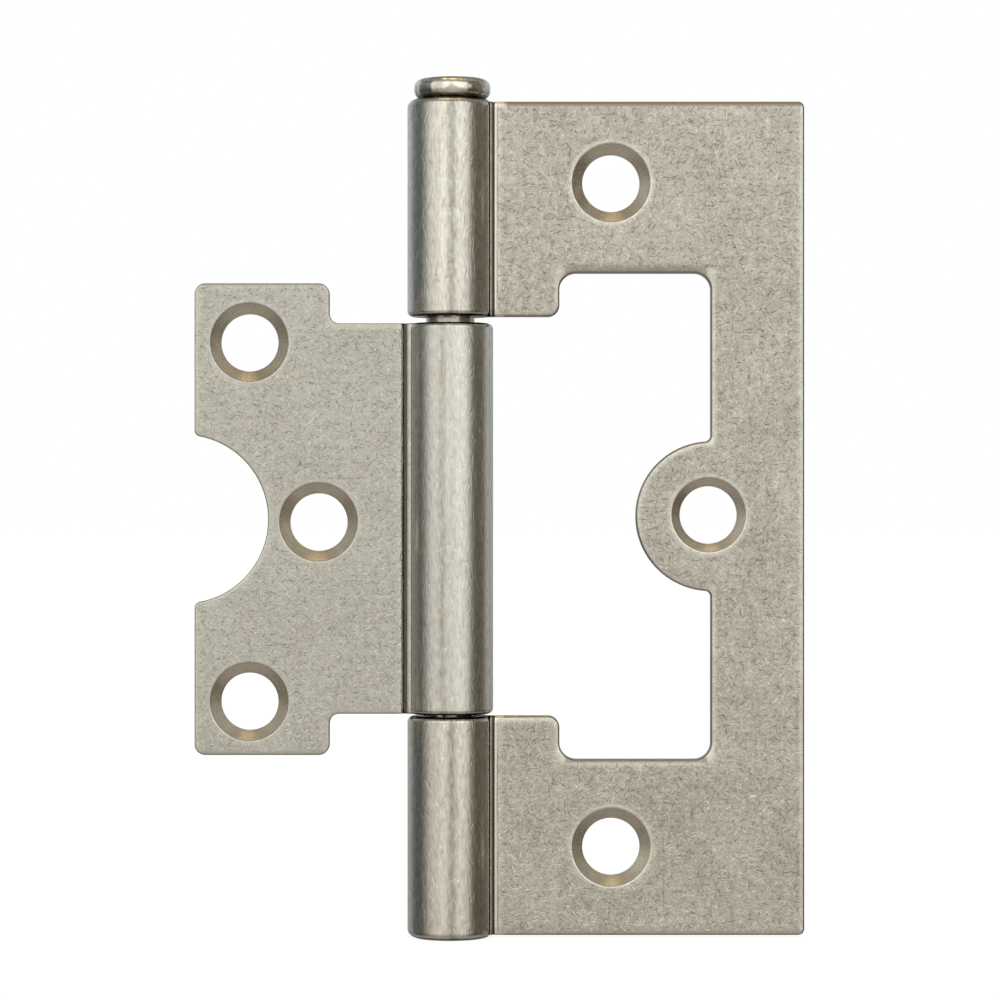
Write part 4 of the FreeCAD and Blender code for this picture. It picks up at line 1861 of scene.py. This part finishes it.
def frame_blank(leaf: FrameLeaf) -> Blank:
    """Where the frame leaf wears, and where shade is painted on its edges.

    Args:
        leaf: the leaf's sizes.

    Returns:
        Its cut edges, with the painted shade on the level ones.
    """
    top, low, high = leaf.top, leaf.window_low, leaf.window_high
    return Blank(
        side=leaf.side, crease=leaf.crease, crease_reach=0.3,
        solids=((-PAST_PIN, leaf.reach, -top, top),),
        voids=((leaf.window_near, leaf.window_far, low, high),
               (-PAST_PIN, leaf.window_near, leaf.neck_low, leaf.neck_high)),
        disc=(leaf.window_far, leaf.window_middle, leaf.lobe_radius), disc_is_metal=True,
        holes=tuple(hole.rim_circle for hole in leaf.holes),
        # Edges that face up get more painted shade than those that face down.
        ledges=(
            Ledge(top, Facing.UP, low_x=6.5, high_x=43.0, full=0.36, gone=0.80, strength=0.88),
            Ledge(low, Facing.UP, low_x=13.6, high_x=31.0, full=0.20, gone=0.60, strength=0.75),
            Ledge(high, Facing.DOWN, low_x=13.6, high_x=31.0, full=0.45, gone=1.45, strength=0.50),
            Ledge(-top, Facing.DOWN, low_x=6.5, high_x=43.0, full=0.35, gone=1.20, strength=0.18),
        ),
        land_dirt_and_shade=0.45, streak=0.28, dark_reflection_depth=0.40,
    )


def door_blank(leaf: DoorLeaf, margin: float = 0.03) -> Blank:
    """Where the door leaf wears, and where shade is painted on its edges.

    Args:
        leaf: the leaf's sizes.
        margin: how far past the ends of the tabs their wear is measured from.

    Returns:
        Its cut edges, with the painted shade on the level ones.
    """
    low, high = leaf.middle - leaf.tab_half, leaf.middle + leaf.tab_half
    far = -leaf.reach - margin
    return Blank(
        side=leaf.side, crease=leaf.crease, crease_reach=0.5,
        solids=((far, -leaf.tab_near, low, high), (far, PAST_PIN, leaf.knuckle_low, leaf.knuckle_high)),
        voids=(),
        disc=(-leaf.notch_centre, leaf.middle, leaf.notch_radius), disc_is_metal=False,
        holes=tuple(hole.rim_circle for hole in leaf.holes),
        # Edges that face up get more painted shade than those that face down.
        ledges=(
            Ledge(high, Facing.UP, low_x=15.0, high_x=30.5, full=0.16, gone=0.42, strength=0.55),
            Ledge(low, Facing.DOWN, low_x=15.0, high_x=30.5, full=0.20, gone=0.70, strength=0.25),
        ),
        land_dirt_and_shade=0.22, streak=-0.875, dark_reflection_depth=0.45,
    )


def dress(piece: bpy.types.Object, *finishes: bpy.types.Material) -> None:
    """Gives a piece its finishes, the first one all over."""
    for finish in finishes:
        piece.data.materials.append(finish)


@dataclass
class Studio:
    """A white studio: soft panels round the hinge, a pale floor and the camera."""

    distance: float = 0.4511
    across: float = -0.01333
    up: float = 0.0018
    field_of_view: float = math.radians(15.214)
    floor_level: float = -0.0507
    sensor_width: float = 36.0
    clip: tuple[float, float] = (0.01, 50.0)
    floor_radius: float = 6.0
    floor_facets: int = 96
    floor_gap: float = 0.00005
    floor_colour: tuple[float, float, float, float] = (0.30, 0.295, 0.285, 1.0)
    floor_glow: float = 0.88
    floor_roughness: float = 0.9
    floor_shine: float = 0.1
    headroom: float = 1.1
    overhead: tuple[float, float, float, float] = (0.9, 0.9, 0.9, 1.0)
    dim_behind: float = 0.45
    high_up: tuple[float, float] = (0.60, 0.95)
    low_down: tuple[float, float] = (-0.45, -0.92)
    behind_from: tuple[float, float] = (0.12, 0.45)
    behind_above: tuple[float, float] = (0.25, 0.6)
    ring: tuple[tuple[float, float, Tint], ...] = ()
    rise: tuple[tuple[float, float, Tint], ...] = ()

    def __post_init__(self) -> None:
        """Sets the panels round the hinge, by the angle from the camera, and how the light rises."""
        white, cool, sky, teal, cream = Tint.WHITE, Tint.COOL, Tint.SKY, Tint.TEAL, Tint.CREAM
        brown, under, lamp = Tint.BROWN, Tint.UNDER, Tint.LAMP
        self.ring = (
            (-180, 0.56, sky), (-150, 0.58, sky), (-136, 0.56, sky), (-127, 0.45, sky), (-118, 0.30, teal),
            (-108, 0.205, teal), (-92, 0.165, teal), (-82, 0.185, white), (-68, 0.45, white),
            (-56, 0.80, white),
            (-44, 0.97, white), (-33, 1.00, white), (-22, 1.26, white), (-13, 1.20, white), (-4, 1.06, white),
            (5, 1.03, white), (13, 1.13, cool), (22, 1.24, cool), (33, 1.20, cool), (43, 1.06, cool),
            (52, 0.72, white), (63, 0.27, brown), (74, 0.165, brown), (92, 0.18, brown), (104, 0.29, white),
            (118, 0.54, white), (132, 0.50, sky),
        )
        self.rise = (
            (-90, 0.47, under), (-60, 0.47, under), (-30, 0.52, under), (-14, 0.60, cream), (-7, 0.74, cream),
            (0, 0.96, white), (7, 1.12, white), (14, 1.22, white), (24, 1.25, white), (33, 1.10, white),
            (42, 0.84, cream), (52, 0.60, brown), (61, 0.46, brown), (68, 0.42, brown), (75, 1.15, lamp),
            (82, 2.10, lamp), (90, 1.80, lamp),
        )

    def light(self) -> None:
        """Soft light by direction, which the camera sees as plain white."""
        world = bpy.data.worlds.new("studio")
        bpy.context.scene.world = world
        world.use_nodes = True
        graph = Graph(world.node_tree)
        background = world.node_tree.nodes["Background"]
        x, y, z = graph.split(graph.node("TexCoord").outputs["Generated"])
        turn = graph.math("ARCTAN2", x, graph.math("MULTIPLY", y, -1.0))
        ring = self._ramp(graph, turn, self.ring, 360.0)
        rise = self._ramp(graph, graph.math("ARCSINE", z), self.rise, 180.0)
        high = graph.math("MAXIMUM", graph.ramp(z, *self.high_up), graph.ramp(z, *self.low_down))
        colour = graph.vector("MULTIPLY", rise, graph.mix(high, ring, self.overhead))
        behind = graph.product(graph.ramp(y, *self.behind_from), graph.ramp(z, *self.behind_above))
        colour = graph.vector("SCALE", colour, scale=graph.math("MULTIPLY_ADD", behind, -self.dim_behind, 1.0))
        seen = graph.node("LightPath").outputs["Is Camera Ray"]
        graph.set(background.inputs["Color"], graph.mix(seen, colour, (1.0, 1.0, 1.0, 1.0)))

    def _ramp(self, graph: Graph, angle: Input, stops: Sequence[tuple[float, float, Tint]],
              span: float) -> bpy.types.NodeSocket:
        """A soft run of brightness and tint over an angle.

        Args:
            graph: the world's graph.
            angle: the angle, in radians either side of nothing.
            stops: angles in degrees, each with its brightness and tint.
            span: how many degrees the whole run covers.

        Returns:
            The colour of the light.
        """
        node = graph.node("ValToRGB", {0: graph.math("MULTIPLY_ADD", angle, 1 / math.radians(span), 0.5)})
        ramp = node.color_ramp
        ramp.interpolation = "CARDINAL"
        brightest = self.headroom * max(level for _, level, _ in stops)
        while len(ramp.elements) > 1:
            ramp.elements.remove(ramp.elements[-1])
        for i, (degrees, level, tint) in enumerate(stops):
            place = degrees / span + 0.5
            stop = ramp.elements[0] if i == 0 else ramp.elements.new(place)
            stop.position = place
            stop.color = (*(level / brightest * part for part in tint.value), 1.0)
        return graph.vector("SCALE", node.outputs[0], scale=brightest)

    def floor(self) -> bpy.types.Object:
        """The pale floor at the foot of the hinge.

        Returns:
            The floor.
        """
        bpy.ops.object.select_all(action="DESELECT")
        level = self.floor_level - self.floor_gap
        bpy.ops.mesh.primitive_circle_add(vertices=self.floor_facets, radius=self.floor_radius,
                                          fill_type="NGON", location=(0, 0, level))
        floor = bpy.context.object
        floor.name = "studio_floor"
        bpy.ops.object.transform_apply(location=True, rotation=True, scale=True)
        material = bpy.data.materials.new("pale_floor")
        material.use_nodes = True
        graph = Graph(material.node_tree)
        shader = material.node_tree.nodes["Principled BSDF"]
        shader.inputs["Base Color"].default_value = self.floor_colour
        shader.inputs["Roughness"].default_value = self.floor_roughness
        shader.inputs["Specular IOR Level"].default_value = self.floor_shine
        shader.inputs["Emission Color"].default_value = (1.0, 1.0, 1.0, 1.0)
        shader.inputs["Emission Strength"].default_value = self.floor_glow
        clear = graph.node("BsdfTransparent")
        seen = graph.node("LightPath").outputs["Is Camera Ray"]
        both = graph.node("MixShader", {0: seen, 1: clear.outputs[0], 2: shader.outputs[0]})
        graph.set(material.node_tree.nodes["Material Output"].inputs["Surface"], both.outputs[0])
        dress(floor, material)
        return floor

    def camera(self) -> None:
        """The camera, square to the leaves."""
        data = bpy.data.cameras.new("studio_camera")
        data.sensor_width = self.sensor_width
        data.lens = self.sensor_width / 2 / math.tan(self.field_of_view / 2)
        data.clip_start, data.clip_end = self.clip
        camera = bpy.data.objects.new("studio_camera", data)
        bpy.context.scene.collection.objects.link(camera)
        camera.location = (self.across, -self.distance, self.up)
        camera.rotation_euler = (math.pi / 2, 0.0, 0.0)
        bpy.context.scene.camera = camera


def turn_countersinks(piece: bpy.types.Object, holes: Sequence[ScrewHole], slot: int) -> None:
    """Gives the countersinks and the walls of the screw holes the turned finish.

    Args:
        piece: the leaf.
        holes: its screw holes.
        slot: the finish's place among the leaf's materials.
    """
    for hole in holes:
        with editing(piece):
            pick(piece, Kind.FACE, hole.holds)
            piece.active_material_index = slot
            bpy.ops.object.material_slot_assign()


def report(piece: bpy.types.Object) -> None:
    """Logs a piece's size and whether it is closed.

    Args:
        piece: the finished piece.
    """
    work = bmesh.new()
    work.from_mesh(piece.data)
    open_edges = sum(1 for e in work.edges if len(e.link_faces) != 2)
    volume = work.calc_volume(signed=True) / MM**3
    work.free()
    log.info("%s: %d faces, %.0f mm3, %d open edges", piece.name, len(piece.data.polygons), volume, open_edges)


def main() -> None:
    """Builds the hinge and its studio."""
    logging.basicConfig(level=logging.INFO, format="%(name)s: %(message)s")
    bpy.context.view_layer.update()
    frame_sizes, door_sizes, pin_sizes = FrameLeaf(), DoorLeaf(), HingePin()
    frame_leaf = frame_sizes.build()
    door_leaf = door_sizes.build()
    pin = pin_sizes.build()
    frame_edges, door_edges = frame_blank(frame_sizes), door_blank(door_sizes)
    dress(frame_leaf, TumbledNickel("tumbled_nickel_frame", frame_edges).material(),
          TurnedNickel("turned_nickel_frame", frame_edges.holes).material())
    door_finish = TumbledNickel("tumbled_nickel_door", door_edges, scuffing=0.72, clouding=0.5, tone=0.41,
                                wear=0.06, lip_highlight=0.10, light=(0.775, 0.750, 0.680, 1.0),
                                dark=(0.267, 0.250, 0.209, 1.0))
    dress(door_leaf, door_finish.material(), TurnedNickel("turned_nickel_door", door_edges.holes).material())
    dress(pin, PolishedNickel(pin_sizes.seat).material())
    turn_countersinks(frame_leaf, frame_sizes.holes, 1)
    turn_countersinks(door_leaf, door_sizes.holes, 1)
    for piece, node, body in ((frame_leaf, "frame_leaf", "frame"), (door_leaf, "door_leaf", "door"),
                              (pin, "hinge_pin", "frame")):
        smooth(piece)
        report(piece)
        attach(piece, body)
        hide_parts(node)
    studio = Studio()
    studio.light()
    studio.floor()
    studio.camera()
    bpy.context.scene.view_settings.view_transform = "Standard"


if __name__ == "__main__":
    main()
